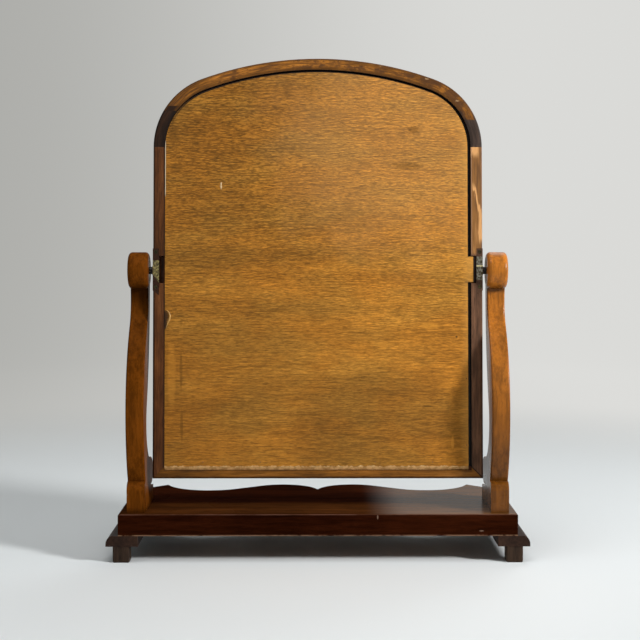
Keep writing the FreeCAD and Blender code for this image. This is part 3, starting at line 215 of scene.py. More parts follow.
class Finish:
    """A material under construction, with short calls for the nodes that the finishes share.

    With leaning set, its coordinates are the mirror's upright ones.
    """

    def __init__(self, name, leaning=False):
        self.material = bpy.data.materials.new(name)
        self.material.use_nodes = True
        self.tree = self.material.node_tree
        self.tree.nodes.clear()
        self.shader = self.tree.nodes.new("ShaderNodeBsdfPrincipled")
        out = self.tree.nodes.new("ShaderNodeOutputMaterial")
        self.tree.links.new(self.shader.outputs[0], out.inputs["Surface"])
        self.place = self.tree.nodes.new("ShaderNodeTexCoord").outputs["Object"]
        if leaning:
            base = PIVOT - Matrix.Rotation(-LEAN, 3, "X") @ PIVOT
            turn = {0: self.place, 1: base, 2: (-LEAN, 0.0, 0.0)}
            self.place = self.make("ShaderNodeMapping", turn).outputs[0]
        self.x, self.y, self.z = self.make("ShaderNodeSeparateXYZ", {0: self.place}).outputs

    def feed(self, socket, entry):
        """Link a socket to another, or set its value."""
        if isinstance(entry, bpy.types.NodeSocket):
            self.tree.links.new(entry, socket)
        elif isinstance(socket, bpy.types.NodeSocketColor):
            socket.default_value = (*entry, 1.0)
        else:
            socket.default_value = entry

    def make(self, kind, inputs=None, **settings):
        """New node with its settings and inputs."""
        node = self.tree.nodes.new(kind)
        for name, entry in settings.items():
            setattr(node, name, entry)
        for key, entry in (inputs or {}).items():
            self.feed(node.inputs[key], entry)
        return node

    def surface(self, **sockets):
        """Set or link the shader's sockets; an underscore in a name stands for a blank."""
        for name, entry in sockets.items():
            self.feed(self.shader.inputs[name.replace("_", " ")], entry)
        return self.material

    def number(self, kind, *entries):
        """Arithmetic on numbers."""
        return self.make("ShaderNodeMath", dict(enumerate(entries)), operation=kind).outputs[0]

    def sum(self, first, second):
        """First number and second together."""
        return self.number("ADD", first, second)

    def less(self, first, second):
        """First number less the second."""
        return self.number("SUBTRACT", first, second)

    def times(self, first, second):
        """First number times the second."""
        return self.number("MULTIPLY", first, second)

    def choose(self, amount, first, second):
        """Number between two numbers."""
        return self.make("ShaderNodeMix", {0: amount, 2: first, 3: second}, data_type="FLOAT").outputs[0]

    def fade(self, entry, start, end, low=0.0, high=1.0):
        """Smooth change from low, at the start of a range of the entry, to high at its end."""
        inputs = {0: entry, 1: start, 2: end, 3: low, 4: high}
        if start > end:
            inputs = {0: entry, 1: end, 2: start, 3: high, 4: low}
        return self.make("ShaderNodeMapRange", inputs, interpolation_type="SMOOTHSTEP").outputs[0]

    def both(self, first, second):
        """Share where two shares meet."""
        return self.times(first, second)

    def either(self, first, second):
        """Larger of two shares."""
        return self.number("MAXIMUM", first, second)

    def blend(self, amount, first, second):
        """Colour between two colours."""
        return self.make("ShaderNodeMix", {0: amount, 6: first, 7: second}, data_type="RGBA").outputs[2]

    def shade(self, paint, gain):
        """Colour times a number from a field."""
        inputs = {0: paint, "Scale": gain}
        return self.make("ShaderNodeVectorMath", inputs, operation="SCALE").outputs[0]

    def vector(self, kind, *entries):
        """Arithmetic on vectors."""
        inputs = dict(enumerate(entries))
        return self.make("ShaderNodeVectorMath", inputs, operation=kind).outputs

    def stretch(self, scale, shift=(0.0, 0.0, 0.0), vector=None):
        """Coordinates scaled along each axis and moved."""
        inputs = {0: vector or self.place, 1: shift, 3: scale}
        return self.make("ShaderNodeMapping", inputs).outputs[0]

    def noise(self, scale, detail=2.0, rough=0.5, twist=0.0, vector=None):
        """Soft random field between nought and one."""
        sizes = {"Scale": scale, "Detail": detail, "Roughness": rough, "Distortion": twist}
        return self.make("ShaderNodeTexNoise", {"Vector": vector or self.place, **sizes}).outputs[0]

    def streaks(self, axis, pull, scale, detail=2.0, rough=0.5, twist=0.0, vector=None):
        """Soft random field drawn out along an axis by a pull."""
        drawn = tuple(1.0 / pull if name == axis else 1.0 for name in "xyz")
        return self.noise(scale, detail, rough, twist, self.stretch(drawn, vector=vector))

    def wavy(self, scale, amount, vector=None):
        """Coordinates that wander by about an amount in metres."""
        vector = vector or self.place
        sizes = {"Vector": vector, "Scale": scale, "Detail": 2.0}
        drift = self.make("ShaderNodeTexNoise", sizes).outputs[1]
        middle = self.vector("SUBTRACT", drift, (0.5, 0.5, 0.5))[0]
        return self.vector("MULTIPLY_ADD", middle, (amount,) * 3, vector)[0]

    def spot(self, centre, size, ragged=0.5, grain=120.0, depth=BOARD_HIGH.y):
        """Share that is 1 inside an uneven oval about a point (x, z) of the back and 0 outside it."""
        middle = (centre[0], depth, centre[1])
        away = self.vector("SUBTRACT", self.place, middle)[0]
        even = self.vector("MULTIPLY", away, (1.0 / size[0], 10.0, 1.0 / size[1]))[0]
        reach = self.vector("LENGTH", even)["Value"]
        edge = self.times(self.noise(grain, 3.0, 0.6), ragged)
        return self.fade(self.sum(reach, edge), 1.0 + ragged / 2, 0.45 + ragged / 2)

    def dabs(self, paint, tone, marks, ragged=0.5, grain=120.0, depth=BOARD_HIGH.y):
        """Colour with spots of a tone; a mark is a spot's centre (x, z), size and strength."""
        for centre, size, strength in marks:
            spot = self.spot(centre, size, ragged, grain, depth)
            paint = self.blend(self.both(spot, strength), paint, tone)
        return paint

    def between(self, entry, low, high, soft):
        """Share that is 1 between two bounds and fades out beyond them."""
        above = self.fade(entry, low - soft, low + soft)
        return self.both(above, self.fade(entry, high + soft, high - soft))

    def rounded(self, radius):
        """Normal that rounds every edge by a radius."""
        return self.make("ShaderNodeBevel", {"Radius": radius}, samples=4).outputs[0]

    def edges(self, radius):
        """Share that is 1 along every edge, as far in as a radius."""
        flat = self.make("ShaderNodeNewGeometry").outputs["Normal"]
        agree = self.vector("DOT_PRODUCT", self.rounded(radius), flat)["Value"]
        return self.fade(agree, 0.985, 0.80)

    def bump(self, height, depth, strength=1.0, arris=0.0):
        """Normal from a height field whose range is depth in metres, over rounded edges."""
        inputs = {"Height": height, "Distance": depth, "Strength": strength}
        if arris:
            inputs["Normal"] = self.rounded(arris)
        return self.make("ShaderNodeBump", inputs).outputs[0]

    def speckle(self, scale, rough, tones, depth, strength=0.5, reach=None):
        """Set colour and bump from one random field, and return the field.

        The colour changes between two tones over the whole field, or over its reach.
        """
        field = self.noise(scale, 3.0, rough)
        amount = self.fade(field, *reach) if reach else field
        self.surface(Base_Color=self.blend(amount, *tones), Normal=self.bump(field, depth, strength))
        return field


def tint(base, gain):
    """Colour made lighter or darker."""
    return tuple(min(1.0, part * gain) for part in base)


class Grain:
    """Wood's fields along an axis: bands, ripples, fibres, pores and clouds, each about 0 to 1.

    The sizes are the widths across the grain; the fields wander off the axis by about `wander`.
    """

    def __init__(self, finish, axis, seed, wander=0.004, band=0.030, ripple=0.004, fibre=0.0012, space=None):
        self.finish = finish
        space = finish.stretch((1.0, 1.0, 1.0), (seed * 0.37, seed * 0.53, seed * 0.71), space)
        bent = finish.wavy(60.0, wander * 0.3, finish.wavy(14.0, wander, space))
        self.band = finish.streaks(axis, 8.0, 1.0 / band, 3.0, 0.5, 0.3, bent)
        self.ripple = finish.streaks(axis, 11.0, 1.0 / ripple, vector=bent)
        self.fibre = finish.streaks(axis, 20.0, 1.0 / fibre, 3.0, 0.6, vector=bent)
        self.pore = finish.fade(finish.streaks(axis, 12.0, 1150.0, 1.0, 0.4, vector=bent), 0.60, 0.70)
        self.cloud = finish.noise(7.0, 3.0, 0.55, vector=space)

    def level(self, band, ripple, fibre):
        """Weighted mean of bands, ripples and fibres."""
        parts = ((self.band, band), (self.ripple, ripple), (self.fibre, fibre))
        first, second, third = (self.finish.times(field, weight) for field, weight in parts)
        return self.finish.sum(self.finish.sum(first, second), third)

    def tones(self, base, contrast=1.0, weights=(0.40, 0.35, 0.25)):
        """Colour of the wood about a middle tone."""
        finish = self.finish
        level = finish.fade(self.level(*weights), 0.36, 0.64)
        paint = finish.blend(level, tint(base, 1.0 - 0.5 * contrast), tint(base, 1.0 + 0.5 * contrast))
        paint = finish.blend(finish.both(self.pore, 0.55 * contrast), paint, tint(base, 0.35))
        cloudy = finish.fade(self.cloud, 0.30, 0.70, 1.0 - 0.22 * contrast, 1.0 + 0.18 * contrast)
        return finish.shade(paint, cloudy)

    def relief(self):
        """Height of fibres and ripples less the pores."""
        return self.finish.less(self.level(0.0, 0.5, 0.5), self.pore)


def course(finish, kind):
    """How far a point lies along the frame's outline and how far inside it.

    Over the arch, the crown's circle holds up to the line through the centres of the crown and of the
    shoulder, and the shoulder's circle beyond that line.
    """
    side = finish.number("ABSOLUTE", finish.x)
    if kind == "stile":
        return finish.z, finish.less(HALF, side)
    if kind == "rail":
        return finish.x, finish.less(finish.z, STILE_LOW.z)
    turn = math.atan2(SHOULDER_X, SPRING - ARCH_Z)
    angles, runs, insets = [], [], []
    for centre_x, centre_z, radius in ((0.0, ARCH_Z, ARCH), (SHOULDER_X, SPRING, SHOULDER)):
        across = finish.less(side, centre_x)
        up = finish.less(finish.z, centre_z)
        angles.append(finish.number("ARCTAN2", across, up))
        runs.append(finish.times(finish.less(angles[-1], turn), radius))
        squares = [finish.number("POWER", part, 2.0) for part in (across, up)]
        insets.append(finish.less(radius, finish.number("SQRT", finish.sum(*squares))))
    beyond = finish.number("GREATER_THAN", angles[0], turn)
    run = finish.sum(finish.choose(beyond, *runs), ARCH * turn)
    return finish.times(run, finish.number("SIGN", finish.x)), finish.choose(beyond, *insets)


def put(material, *nodes):
    """Give a finish to CAD nodes."""
    for name in nodes:
        slots = frame["nodes"][name].data.materials
        slots.clear()
        slots.append(material)


def grid_mesh(name, points, body, material):
    """Piece from a grid of points, rows by columns, smooth shaded, that rides on a body."""
    rows, columns = points.shape[:2]
    corner = np.arange((rows - 1) * columns).reshape(rows - 1, columns)[:, :-1].ravel()
    faces = np.stack((corner, corner + 1, corner + columns + 1, corner + columns), axis=1)
    mesh = bpy.data.meshes.new(name)
    mesh.from_pydata(points.reshape(-1, 3), [], faces.tolist())
    mesh.polygons.foreach_set("use_smooth", np.ones(len(faces), bool))
    mesh.materials.append(material)
    piece = bpy.data.objects.new(name, mesh)
    bpy.context.scene.collection.objects.link(piece)
    if body:
        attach(piece, body)
    return piece


def drop_points(path, half_width, thick, rows=64, columns=25):
    """Low drop on the board's back along a falling path of points (x, z).

    Across it, v runs from -1 to 1 and the height is thick * (1 - v^2)^0.6; along it, u runs from 0 to 1
    and the half width is half_width * sin(pi * u^0.8)^0.7 with two slow ripples, so both ends close. The
    whole is then turned about the swing axis to the mirror's lean.
    """
    u = np.linspace(0.0, 1.0, rows)[:, None]
    v = np.linspace(-1.0, 1.0, columns)[None, :]
    path = np.asarray(path, float)
    knots = np.linspace(0.0, 1.0, len(path))
    swell = np.sin(np.pi * u ** 0.8).clip(0.0, 1.0) ** 0.7
    ripple = 1.0 + 0.18 * np.sin(11.0 * u + 0.6) + 0.10 * np.sin(23.0 * u)
    x = np.interp(u, knots, path[:, 0]) + half_width * swell * ripple * v
    z = np.interp(u, knots, path[:, 1]) + 0.0 * v
    y = BOARD_HIGH.y - 0.0002 + thick * (1.0 - v ** 2).clip(0.0, 1.0) ** 0.6 * swell ** 0.5
    points = np.stack((x, y, z), axis=-1)
    return turned(points, LEAN)


class MIRROR_OT_stage(bpy.types.Operator):
    """Floor and backdrop in one bowl, soft lights and the camera"""

    bl_idname = "dressing_mirror.stage"
    bl_label = "Stage"

    def execute(self, context):
        stage = context.scene.dressing_mirror.stage
        self.bowl(stage)
        self.lights(context, stage)
        self.camera(context, stage)
        context.scene.view_settings.view_transform = "Standard"
        return {"FINISHED"}

    def bowl(self, stage):
        """Surface of revolution: flat floor, a quarter round bend, and an upright wall.

        The floor is graded darker towards the key light. Far from the middle, what the camera and clear
        reflections see is the backdrop's own pale tone.
        """
        finish = Finish("backdrop")
        flat = finish.vector("MULTIPLY", finish.place, (1.0, 1.0, 0.0))[0]
        far = finish.fade(finish.vector("LENGTH", flat)["Value"], stage.floor_near, stage.floor_far)
        rays = finish.make("ShaderNodeLightPath").outputs
        clear = finish.either(rays["Is Glossy Ray"], rays["Is Transmission Ray"])
        seen = finish.both(far, finish.either(rays["Is Camera Ray"], clear))
        wall = finish.blend(finish.fade(finish.x, -0.9, 1.5), stage.wall, stage.wall_dim)
        speck = finish.fade(finish.noise(900.0, 2.0), 0.3, 0.7, 0.985, 1.0)
        towards = Vector((*KEY_PLACE[:2], 0.0)).normalized()
        nearer = finish.vector("DOT_PRODUCT", finish.place, towards)["Value"]
        graded = finish.both(speck, finish.fade(nearer, 0.28, 1.25, 1.0, 0.45))
        material = finish.surface(
            Base_Color=finish.blend(seen, finish.shade(stage.floor, graded), (0.0, 0.0, 0.0)),
            Emission_Color=wall,
            Emission_Strength=seen,
            Roughness=0.9,
            Specular_IOR_Level=0.1,
        )
        bend = np.linspace(0.0, math.pi / 2, 24)[1:]
        flat = stage.bowl_radius - stage.bowl_bend
        radius = np.concatenate(
            ([0.0001], np.linspace(0.5, flat, 8), flat + stage.bowl_bend * np.sin(bend), [stage.bowl_radius])
        )
        height = np.concatenate((np.zeros(9), stage.bowl_bend * (1 - np.cos(bend)), [stage.bowl_height]))
        turn = np.linspace(0.0, 2 * math.pi, 97)[None, :]
        ring = np.stack((np.cos(turn), np.sin(turn), 0 * turn), axis=-1)
        points = radius[:, None, None] * ring + height[:, None, None] * np.array((0.0, 0.0, 1.0))
        grid_mesh("backdrop", points, None, material)

    def lights(self, context, stage):
        """Soft key on the viewer's right, fills from above and from the plate's side, and an even sky."""
        middle = Vector((0.0, 0.0, 0.35))
        for name, place, size, watts in (
            ("key", KEY_PLACE, 0.52, stage.key),
            ("fill", (0.5, 0.7, 2.3), 1.6, stage.fill),
            ("front", (-0.6, -1.5, 2.4), 1.2, stage.front),
        ):
            lamp = bpy.data.lights.new(name, "AREA")
            lamp.shape = "DISK"
            lamp.size = size
            lamp.energy = watts
            holder = bpy.data.objects.new(name, lamp)
            holder.location = place
            aim = middle - Vector(place)
            holder.rotation_euler = aim.to_track_quat("-Z", "Y").to_euler()
            holder.visible_camera = False
            context.scene.collection.objects.link(holder)
        world = bpy.data.worlds.new("sky")
        world.use_nodes = True
        sky = world.node_tree.nodes["Background"]
        sky.inputs["Color"].default_value = (1.0, 0.99, 0.97, 1.0)
        sky.inputs["Strength"].default_value = stage.sky
        context.scene.world = world

    def camera(self, context, stage):
        """Camera behind the mirror, level but for a small fall."""
        data = bpy.data.cameras.new("camera")
        data.sensor_width = 36.0
        data.lens = stage.lens
        camera = bpy.data.objects.new("camera", data)
        camera.location = stage.eye
        camera.rotation_euler = (math.pi / 2 - stage.pitch, 0.0, math.pi - stage.yaw)
        context.scene.collection.objects.link(camera)
        context.scene.camera = camera


class MIRROR_OT_platform(bpy.types.Operator):
    """Dark polished platform with worn arrises, its side rails and block feet"""

    bl_idname = "dressing_mirror.platform"
    bl_label = "Platform, rails and feet"

    def execute(self, context):
        settings = context.scene.dressing_mirror
        put(self.board(settings), "platform_board")
        rail = self.dull("rail_wood", settings, settings.woods.rail, "y", 3.1)
        put(rail, "foot_rail_left", "foot_rail_right")
        feet = [f"foot_block_{end}_{side}" for end in ("front", "back") for side in ("left", "right")]
        put(self.dull("foot_wood", settings, settings.woods.foot, "z", 5.7), *feet)
        return {"FINISHED"}

    def board(self, settings):
        """Polish over dark wood; its top painted lighter and warmer towards the back as lit, and glossier
        towards -X with a painted reflection.

        The lower back arris is worn pale and the upper one rubbed, and the back has two nicks.
        """
        base = settings.woods.platform
        finish = Finish("platform_wood")
        grain = Grain(finish, "x", 1.3, band=0.028, ripple=0.005, fibre=0.0016)
        paint = grain.tones(base, 0.85)
        top = finish.fade(finish.z, PLATFORM_HIGH.z - 0.0006, PLATFORM_HIGH.z - 0.0003)
        paint = finish.shade(paint, finish.fade(top, 0.0, 1.0, 1.0, 1.5))
        # Painted light: the back part of the top is painted lighter and warmer as lit, and the front part
        # stays darker as in the mirror's shadow.
        warm = finish.vector("MULTIPLY", paint, (1.6, 2.3, 1.6))[0]
        paint = finish.blend(finish.both(top, finish.fade(finish.y, 0.020, 0.045)), paint, warm)
        # Painted reflection: the -X end of the top is painted paler where it reflects the pale backdrop; the
        # coat below adds real gloss there.
        painted_reflection_share = finish.both(top, finish.fade(finish.x, -0.06, -0.16, 0.0, 0.7))
        paint = finish.blend(painted_reflection_share, paint, grain.tones(settings.woods.platform_painted_reflection, 0.6))
        edge = finish.edges(settings.relief.arris * 2.0)
        patch = finish.noise(26.0, 3.0, 0.6)
        speck = finish.noise(260.0, 3.0, 0.6)
        wear = finish.sum(patch, finish.times(speck, 0.6))
        chips = finish.both(edge, finish.fade(wear, 0.92, 1.02, 0.0, settings.relief.wear))
        low = finish.fade(finish.z, PLATFORM_LOW.z + 0.0019, PLATFORM_LOW.z + 0.0011)
        worn = finish.both(low, finish.fade(wear, 0.66, 0.84, 0.0, settings.relief.wear))
        paint = finish.blend(finish.both(edge, 0.3), paint, tint(base, 2.6))
        paint = finish.blend(finish.either(chips, worn), paint, (0.30, 0.17, 0.10))
        high = finish.both(
            finish.fade(finish.z, PLATFORM_HIGH.z - 0.0014, PLATFORM_HIGH.z - 0.0006),
            finish.fade(finish.y, PLATFORM_HIGH.y - 0.0020, PLATFORM_HIGH.y - 0.0010),
        )
        rubbed = finish.both(high, finish.fade(patch, 0.38, 0.58, 0.25, 0.8))
        paint = finish.blend(rubbed, paint, (0.11, 0.052, 0.036))
        nicks = (((-0.0835, 0.0645), (0.0012, 0.0040), 0.6), ((-0.2290, 0.0450), (0.0042, 0.0012), 0.6))
        paint = finish.dabs(paint, (0.28, 0.18, 0.13), nicks, 0.4, 400.0, PLATFORM_HIGH.y)
        gloss = finish.fade(grain.cloud, 0.3, 0.7, 0.24, 0.34)
        return finish.surface(
            Base_Color=paint,
            Roughness=finish.either(gloss, finish.fade(speck, 0.5, 0.8, 0.2, 0.45)),
            Specular_IOR_Level=0.00003,
            Coat_Weight=finish.both(top, finish.fade(finish.x, -0.065, -0.130, 0.0, 0.40)),
            Coat_Roughness=0.22,
            Normal=finish.bump(grain.relief(), 0.00012, 0.3, settings.relief.arris),
        )

    def dull(self, name, settings, base, axis, seed):
        """Dark worn wood with dust in its grain and rubbed edges."""
        finish = Finish(name)
        grain = Grain(finish, axis, seed)
        paint = grain.tones(base, 0.9)
        rubbed = finish.both(
            finish.edges(settings.relief.arris * 2.0),
            finish.fade(finish.noise(90.0, 4.0, 0.65), 0.40, 0.65, 0.0, settings.relief.wear),
        )
        paint = finish.blend(rubbed, paint, tint(base, 3.2))
        dust = finish.fade(finish.noise(60.0, 4.0, 0.65), 0.5, 0.75, 0.0, 0.35)
        paint = finish.blend(dust, paint, tint(base, 1.9))
        return finish.surface(
            Base_Color=paint,
            Roughness=finish.fade(grain.cloud, 0.3, 0.7, 0.45, 0.62),
            Specular_IOR_Level=0.12,
            Normal=finish.bump(grain.relief(), 0.00025, 0.5, settings.relief.arris),
        )


class MIRROR_OT_supports(bpy.types.Operator):
    """Polished S-scroll supports of one wood, the one at -X painted lighter as lit and the one at +X darker
    as shaded
    """

    bl_idname = "dressing_mirror.supports"
    bl_label = "Supports"

    def execute(self, context):
        settings = context.scene.dressing_mirror
        woods = settings.woods
        # Per support: tone, seed, heel and scroll factors of painted light and shade, gloss, and how far the
        # painted shadow below the boss runs down the neck.
        for side, base, seed, painted_light_gains, gloss, reach in (
            ("left", woods.support_left, 2.2, (0.41, 1.13), 0.20, 0.006),
            ("right", woods.support_right, 7.9, (1.25, 1.15), 0.004, 0.035),
        ):
            name = f"support_wood_{side}"
            put(self.polished(name, settings, base, seed, painted_light_gains, gloss, reach), f"support_{side}")
        return {"FINISHED"}

    def polished(self, name, settings, base, seed, painted_light_gains, gloss, reach):
        """Straight grain under polish of some gloss.

        Heel and scroll factors paint light and shade along the height; reach is how far the painted shadow
        runs below the boss.
        """
        finish = Finish(name)
        grain = Grain(finish, "z", seed, wander=0.006, band=0.014, ripple=0.0035)
        paint = grain.tones(base, 0.7)
        heel, neck = SUPPORT_LOW.z + 0.08, PIVOT.z - 0.03
        # Painted light and shade along the height: the tone is scaled from heel to scroll, and at -X the
        # heel is painted far darker than the scroll.
        paint = finish.shade(paint, finish.fade(finish.z, heel, neck, *painted_light_gains))
        edge = finish.edges(settings.relief.arris * 2.0)
        rub = finish.fade(finish.noise(45.0, 4.0, 0.6), 0.45, 0.65, 0.0, settings.relief.wear)
        paint = finish.blend(finish.both(edge, rub), paint, tint(base, 1.7))
        # Painted shade on the boss's lower part and painted shadow below it, down the neck as far as reach.
        below = finish.both(
            finish.fade(finish.z, PIVOT.z - BOSS + 0.0082, PIVOT.z - BOSS),
            finish.fade(finish.z, PIVOT.z - BOSS - 0.0018 - reach, PIVOT.z - BOSS - 0.0013, 0.0, 0.8),
        )
        # Darker just above the platform, then joined with the painted shade at the boss.
        darkened_low_and_painted_boss_shade = finish.fade(finish.z, PLATFORM_HIGH.z + 0.009, PLATFORM_HIGH.z + 0.001, 0.0, 0.55)
        darkened_low_and_painted_boss_shade = finish.either(darkened_low_and_painted_boss_shade, below)
        paint = finish.blend(darkened_low_and_painted_boss_shade, paint, tint(base, 0.25))
        return finish.surface(
            Base_Color=paint,
            Roughness=finish.fade(grain.cloud, 0.3, 0.7, 0.24, 0.36),
            Specular_IOR_Level=gloss,
            Normal=finish.bump(grain.relief(), 0.00012, 0.3, settings.relief.arris),
        )


class MIRROR_OT_frame(bpy.types.Operator):
    """Frame: worn unpolished back, polished front and sides"""

    bl_idname = "dressing_mirror.frame"
    bl_label = "Frame"

    def execute(self, context):
        settings = context.scene.dressing_mirror
        woods = settings.woods
        chips = (
            (-0.061, 0.7080), (-0.079, 0.7042), (-0.091, 0.7015),
            (-0.157, 0.6825), (-0.200, 0.6508), (-0.215, 0.6350),
        )
        for name, node, kind, base, bare in (
            ("crown_wood", "frame_crown", "arch", woods.crown, 0.20),
            ("shoulder_wood_left", "frame_shoulder_left", "arch", woods.shoulder_left, 0.05),
            ("shoulder_wood_right", "frame_shoulder_right", "arch", woods.shoulder_right, 0.04),
            ("stile_wood_left", "frame_stile_left", "stile", woods.stile_left, 0.06),
            ("stile_wood_right", "frame_stile_right", "stile", woods.stile_right, 0.04),
            ("low_rail_wood", "frame_bottom_rail", "rail", woods.low_rail, 0.20),
        ):
            put(self.piece(name, settings, kind, base, bare, chips if node == "frame_crown" else ()), node)
        return {"FINISHED"}

    def piece(self, name, settings, kind, base, bare, marks):
        """Wood of one frame piece, its grain along the frame.

        Its back takes the base tone with bare streaks, chips (x, z) and darker rims; everything in front of
        the back is polished, and the rebate behind the board's edge is painted black as shade.
        """
        woods, relief = settings.woods, settings.relief
        finish = Finish(name, leaning=True)
        run, inset = course(finish, kind)
        space = finish.make("ShaderNodeCombineXYZ", {0: run, 1: finish.y, 2: inset}).outputs[0]
        grain = Grain(finish, "x", len(name) * 0.83, wander=0.003, band=0.010, ripple=0.003, space=space)
        worn = grain.tones(base, 0.95)
        streaks = finish.fade(grain.level(0.6, 0.3, 0.1), 0.54, 0.66, 0.0, bare)
        worn = finish.blend(streaks, worn, tint(woods.raw, 0.8))
        worn = self.features(finish, grain, name, woods, worn, inset)
        chips = [(centre, (0.0036, 0.0014), 0.6) for centre in marks]
        worn = finish.dabs(worn, (0.50, 0.31, 0.15), chips, 1.4, 700.0)
        edge = finish.edges(relief.arris * 2.0)
        rub = finish.fade(finish.noise(70.0, 4.0, 0.65), 0.47, 0.66, 0.0, relief.wear)
        polished = grain.tones(woods.polish, 0.7)
        polished = finish.blend(finish.both(edge, rub), polished, tint(woods.polish, 2.4))
        # Darker rims: the outer one is the worn dark edge; the inner one, beside the board, is partly dark
        # arris and partly painted shade from the gap.
        outer, inner = finish.fade(inset, 0.0036, 0.0020), finish.fade(inset, 0.0140, 0.0158)
        if kind == "arch":
            inner = finish.fade(inset, 0.0112, 0.0142)
        rims = finish.either(outer, inner)
        rimmed = finish.both(rims, 0.2 if name == "stile_wood_left" else 0.75)
        worn = finish.blend(rimmed, worn, tint(base, 0.28))
        back = finish.fade(finish.y, BOARD_HIGH.y - 0.0024, BOARD_HIGH.y - 0.0004)
        paint = finish.blend(back, polished, worn)
        # Painted shade: the rebate's wall behind the board's edge is painted black, as the gap beside the
        # board lies in shade.
        painted_rebate_shade = finish.both(
            finish.fade(inset, REBATE - 0.0005, REBATE),
            finish.fade(finish.y, GLASS_LOW.y, GLASS_LOW.y + 0.001),
        )
        paint = finish.blend(painted_rebate_shade, paint, woods.soot_and_painted_rebate_shade)
        dull = finish.fade(grain.cloud, 0.3, 0.7, 0.45, 0.62)
        return finish.surface(
            Base_Color=paint,
            Roughness=finish.choose(back, 0.24, dull),
            Specular_IOR_Level=0.15,
            Normal=finish.bump(grain.relief(), 0.00025, 0.45, relief.arris),
        )

    def features(self, finish, grain, name, woods, worn, inset):
        """What only some pieces show: old stain, joints at their own heights, bared wood, an open mitre."""
        if name in ("crown_wood", "shoulder_wood_left"):
            patch = finish.times(finish.noise(70.0, 3.0, 0.6), 0.7)
            patch = finish.sum(grain.level(0.5, 0.35, 0.15), patch)
            more = finish.fade(finish.x, 0.12, -0.16, -0.06, 0.08)
            stain = finish.fade(finish.sum(patch, more), 0.86, 0.97, 0.0, 0.85)
            pale = finish.fade(grain.ripple, 0.50, 0.62, 0.0, 0.5)
            gold = finish.blend(pale, woods.crown, tint(woods.crown, 1.9))
            gold = finish.shade(gold, finish.fade(grain.band, 0.35, 0.65, 0.6, 1.25))
            dark = finish.fade(finish.both(grain.ripple, grain.fibre), 0.24, 0.17, 0.0, 0.75)
            gold = finish.blend(finish.either(dark, finish.both(grain.pore, 0.6)), gold, woods.crown_dark)
            gold = finish.blend(stain, gold, woods.crown_dark)
        if name == "crown_wood":
            below = finish.fade(finish.z, JOINT_RIGHT + 0.0006, JOINT_RIGHT - 0.0006)
            right = finish.both(below, finish.fade(finish.x, 0.10, 0.11))
            return finish.blend(right, gold, woods.shoulder_right)
        if name == "shoulder_wood_left":
            above = finish.fade(finish.z, JOINT_LEFT - 0.0006, JOINT_LEFT + 0.0006)
            return finish.blend(above, worn, gold)
        if name in ("stile_wood_left", "low_rail_wood"):
            from_side = finish.sum(HALF, finish.x)
            from_low = finish.less(finish.z, STILE_LOW.z)
            mitre = finish.between(finish.less(from_side, from_low), -0.0009, 0.0009, 0.0004)
            worn = finish.blend(mitre, worn, woods.soot_and_painted_rebate_shade)
        if name == "stile_wood_left":
            low, high = PIVOT.z + 0.020, SPRING + 0.001
            inside = finish.both(
                finish.fade(finish.z, low, low + 0.006), finish.fade(finish.z, high, high - 0.001)
            )
            level = grain.level(0.5, 0.4, 0.1)
            gone = finish.fade(level, 0.40, 0.54, 0.45, 0.95)
            fresh = finish.sum(finish.z, finish.times(grain.ripple, 0.02))
            top = finish.fade(fresh, high - 0.008, high + 0.002)
            top = finish.both(top, finish.fade(inset, 0.003, 0.007))
            arris = finish.between(inset, 0.0149, 0.0156, 0.0003)
            streak_low, streak_high = 0.448, 0.530
            lean = finish.fade(finish.z, streak_low + 0.030, streak_high + 0.005, 0.0035, 0.0125)
            wander = finish.sum(finish.less(lean, inset), finish.times(grain.ripple, 0.012))
            streak = finish.between(wander, 0.0040, 0.0080, 0.0008)
            streak = finish.both(streak, finish.between(finish.z, streak_low, streak_high, 0.006))
            bared = finish.blend(grain.fibre, (0.140, 0.058, 0.014), (0.360, 0.160, 0.044))
            bared = finish.blend(finish.fade(level, 0.56, 0.64, 0.0, 0.5), bared, woods.raw)
            bared = finish.blend(finish.either(top, streak), bared, (0.66, 0.33, 0.12))
            bared = finish.blend(arris, bared, (0.42, 0.24, 0.15))
            lost = finish.either(finish.either(gone, top), finish.either(streak, arris))
            lost = finish.both(inside, lost)
            worn = finish.blend(lost, worn, bared)
        return worn


